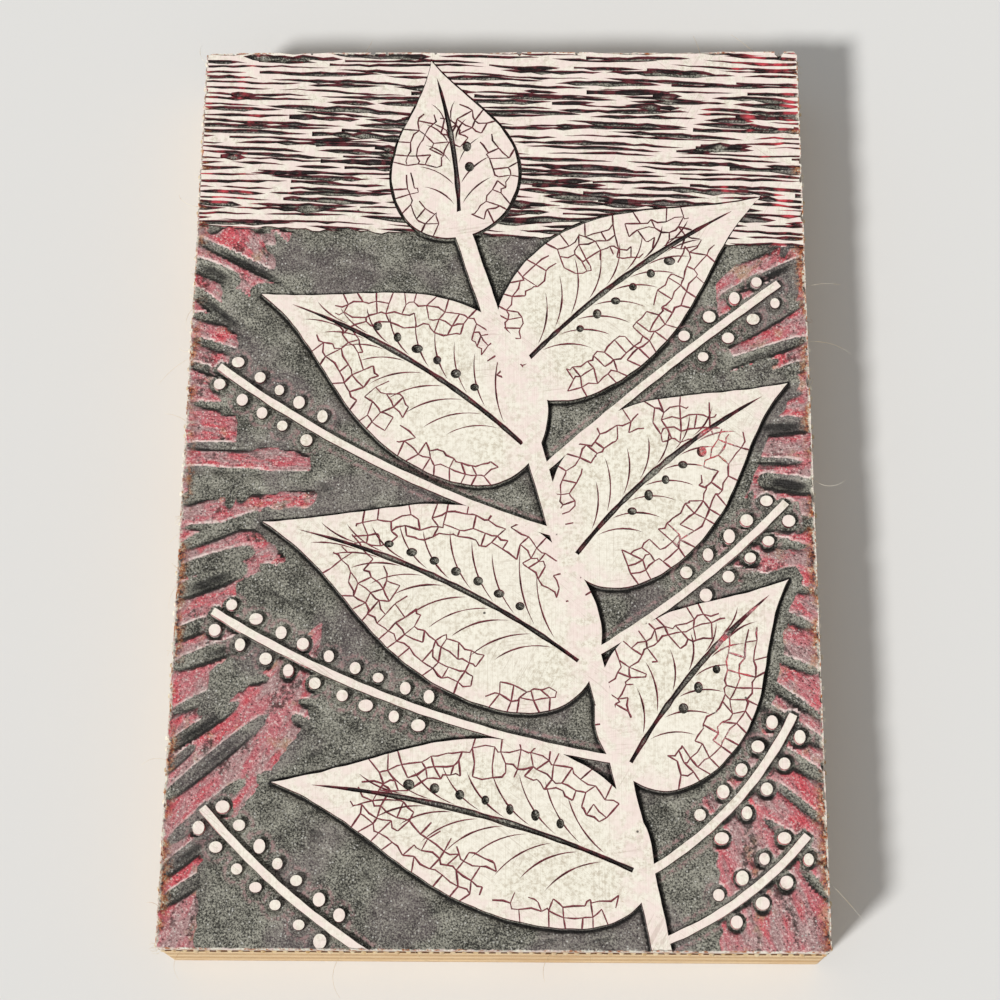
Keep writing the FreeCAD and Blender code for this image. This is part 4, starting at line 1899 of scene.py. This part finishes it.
@dataclass
class JuteFibres:
    """Fibres that have come loose from the jute's cut edge, and tufts where chips bare it."""

    loose: int = 46
    thickness: float = 0.05 * MM
    steps: int = 9
    taper: float = 0.07
    chance: random.Random = field(default_factory=lambda: random.Random(21))

    def fibre(self, foot: Vector, outwards: Vector, length: float, curl: float, drop: float) -> list[Vector]:
        """One fibre that curls and sinks.

        Args:
            foot: Where it leaves the jute.
            outwards: Heading at its foot.
            length: Its length.
            curl: Turn from foot to tip, in radians.
            drop: How far its tip sinks below its foot.

        Returns:
            Points along it.
        """
        points = [foot]
        for step in range(self.steps):
            heading = Matrix.Rotation(curl * step / self.steps, 3, "Z") @ outwards
            sink = UP * (drop * (2 * step + 1) / self.steps ** 2)
            points.append(points[-1] + heading * (length / self.steps) - sink)
        return points

    def feet(self) -> list[tuple[Vector, int, float, float]]:
        """Where the fibres leave the jute.

        Returns:
            Foot, axis that it leaves along, side and length of each fibre.
        """
        chance, pick = self.chance, self.chance.uniform
        level = BLOCK.jute_level
        half = Vector((BLOCK.half_width, BLOCK.half_length, 0.0))
        made = []
        for _ in range(self.loose):
            side, axis = chance.choice((-1, 1)), chance.choice((0, 0, 1))
            foot = Vector((pick(-1, 1) * half.x, pick(-1, 1) * half.y, level))
            foot[axis] = side * half[axis]
            made.append((foot, axis, side, chance.choice((pick(1, 3), pick(2, 5), pick(6, 12))) * MM))
        for across, along, size in CHIP_SHARES:
            axis = 0 if abs(across) >= abs(along) else 1
            side = math.copysign(1.0, (across, along)[axis])
            for _ in range(round(9 * size)):
                foot = Vector((across * BLOCK.width, along * BLOCK.length, level + pick(-0.2, 0.5) * MM))
                foot += Vector((pick(-1, 1), pick(-1, 1), 0.0)) * (size * MM)
                foot[axis] = side * (half[axis] - pick(0.0, 0.8) * MM)
                made.append((foot, axis, side, pick(0.8, 2.6) * MM))
        return made

    def build(self) -> bpy.types.Object:
        """Make all the fibres.

        Returns:
            The fibres.
        """
        pick = self.chance.uniform
        routes = []
        for foot, axis, side, length in self.feet():
            outwards = Vector((0.0, 0.0, 0.0))
            outwards[axis] = side
            outwards = Matrix.Rotation(pick(-0.9, 0.9), 3, "Z") @ outwards
            drop = min(pick(-0.1, 0.5) * length, foot.z - 1 * MM)
            route = self.fibre(foot, outwards, length, pick(-1.8, 1.8), drop)
            thick = self.thickness * pick(0.7, 1.3)
            routes.append((route, [thick * (1 - self.taper * index) for index in range(len(route))]))
        return new_piece("jute_fibres", mesh_from(sweep(routes, Section.VEE, upright=False), "jute_fibres"))


@dataclass
class GlueBead:
    """Glue that was squeezed out between the jute and the plywood."""

    thickness: float = 0.2 * MM
    step: float = 1.6 * MM

    def build(self) -> bpy.types.Object:
        """Run an uneven bead of glue around the block.

        Returns:
            The bead.
        """
        half_x, half_y = BLOCK.half_width - CORNER_ROUND, BLOCK.half_length - CORNER_ROUND
        route = []
        for quarter, (side_x, side_y) in enumerate(((1, 1), (-1, 1), (-1, -1), (1, -1))):
            centre = Vector((side_x * half_x, side_y * half_y, 0.0))
            for part in range(5):
                angle = math.pi / 2 * (quarter + part / 4)
                route.append(centre + Vector((math.cos(angle), math.sin(angle), 0.0)) * CORNER_ROUND)
        route = walk([*route, route[0]], self.step)[:-1]
        radii = [self.thickness * (1 + 0.9 * noise.noise(point / (5 * MM))) for point in route]
        route = lifted(route, (BLOCK.jute_low + BLOCK.base_top) / 2)
        bm = sweep([(route, radii)], Section.THREAD, upright=False, closed=True)
        return new_piece("glue_bead", mesh_from(bm, "glue_bead"))


@dataclass
class WoodenBase:
    """The plywood base: its plies and the glue between them."""

    glue: bpy.types.Material
    across: tuple[str, ...] = ("ply_2_crossband", "ply_4_centre_crossband", "ply_6_crossband")
    along: tuple[str, ...] = ("ply_3_long_core", "ply_5_long_core")
    veneers: tuple[str, ...] = ("ply_1_back_veneer", "ply_7_top_veneer")
    glue_lines: int = 6

    def build(self) -> None:
        """Dress every ply and glue line."""
        films = (*(f"glue_line_{number}" for number in range(1, self.glue_lines + 1)), "mounting_glue")
        finishes = (
            (self.veneers, Plywood("face_veneer", roughness=0.62, ring=0.7).make()),
            (self.across, Plywood("crossband", roughness=0.75, crosswise=True, ring=0.9).make()),
            (self.along, Plywood("long_core", roughness=0.7, ring=1.3).make()),
            (films, self.glue),
        )
        for names, material in finishes:
            for name in names:
                dress(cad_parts[name], material)
                LOG.info("%s: dressed", name)


@dataclass
class Studio:
    """Floor, lights and camera."""

    lens: float = 77.39
    camera_place: tuple[float, float, float] = (11.9, -171.1, 490.0)
    camera_aim: tuple[float, float, float] = (0.8, -7.6, 0.0)
    camera_up: tuple[float, float, float] = (-0.002, 0.949, 0.317)
    floor_reach: float = 3.0
    floor_roughness: float = 0.9
    key_strength: float = 2.85
    key_angle: float = math.radians(9)
    key_aim: tuple[float, float, float] = (0.56, 0.52, -0.7)
    fill_strength: float = 0.38

    def build_floor(self) -> None:
        """Lay a plain pale floor around the block, open beneath it so that its underside can be seen."""
        bm = bmesh.new()
        bmesh.ops.create_grid(bm, x_segments=3, y_segments=3, size=self.floor_reach)
        inner = [vert for vert in bm.verts if max(abs(vert.co.x), abs(vert.co.y)) < 0.5 * self.floor_reach]
        for vert in inner:
            vert.co.x = math.copysign(BLOCK.half_width - MM, vert.co.x)
            vert.co.y = math.copysign(BLOCK.half_length - MM, vert.co.y)
        middle = [face for face in bm.faces if all(vert in inner for vert in face.verts)]
        bmesh.ops.delete(bm, geom=middle, context="FACES")
        floor = new_piece("floor", mesh_from(bm, "floor"))
        material = bpy.data.materials.new("floor")
        material.use_nodes = True
        shader = material.node_tree.nodes["Principled BSDF"]
        shader.inputs["Base Color"].default_value = Tint.FLOOR.linear
        shader.inputs["Roughness"].default_value = self.floor_roughness
        dress(floor, material)

    def build_lights(self) -> None:
        """Light the block softly from beyond its left foot corner, as in the photograph."""
        world = bpy.data.worlds.new("studio")
        world.use_nodes = True
        back = world.node_tree.nodes["Background"]
        back.inputs["Color"].default_value = (1.0, 1.0, 1.0, 1.0)
        back.inputs["Strength"].default_value = self.fill_strength
        bpy.context.scene.world = world
        key = bpy.data.lights.new("key", "SUN")
        key.energy = self.key_strength
        key.angle = self.key_angle
        lamp = bpy.data.objects.new("key", key)
        lamp.rotation_euler = Vector(self.key_aim).to_track_quat("-Z", "Y").to_euler()
        bpy.context.scene.collection.objects.link(lamp)

    def build_camera(self) -> None:
        """Set the camera at the photograph's viewing angle."""
        data = bpy.data.cameras.new("camera")
        data.lens = self.lens
        data.sensor_width = 36.0
        data.clip_start = 10 * MM
        camera = bpy.data.objects.new("camera", data)
        place, aim = (Vector(spot) * MM + UP * BLOCK.face for spot in (self.camera_place, self.camera_aim))
        back = (place - aim).normalized()
        right = Vector(self.camera_up).cross(back).normalized()
        turn = Matrix((right, back.cross(right), back)).transposed().to_4x4()
        camera.matrix_world = Matrix.Translation(place) @ turn
        bpy.context.scene.collection.objects.link(camera)
        bpy.context.scene.camera = camera

    def build(self) -> None:
        """Set up the whole stage."""
        self.build_floor()
        self.build_lights()
        self.build_camera()
        bpy.context.scene.view_settings.view_transform = "Standard"


def main() -> None:
    """Build and dress every piece, in order."""
    logging.basicConfig(level=logging.INFO, format="%(message)s")
    for effect in EFFECTS:
        effect.build()
    thread = JuteThread("jute_thread", roughness=0.95, specular=0.15).make()
    glue = DriedGlue("dried_glue", roughness=0.45).make()
    sheet, canvas = CarvedLinoleum().build(), JuteCanvas().build()
    fibres, bead = JuteFibres().build(), GlueBead().build()
    for piece, material, slot in (
        (sheet, InkedLinoleum("inked_linoleum").make(), "linoleum"),
        (canvas, thread, "jute"),
        (fibres, thread, "jute"),
        (bead, glue, "mounting_glue"),
    ):
        dress(piece, material)
        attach(piece, "root")
        LOG.info("%s: %d faces", piece.name, len(piece.data.polygons))
    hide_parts("linoleum_sheet")
    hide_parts("jute_backing")
    WoodenBase(glue).build()
    Studio().build()


if __name__ == "__main__":
    main()
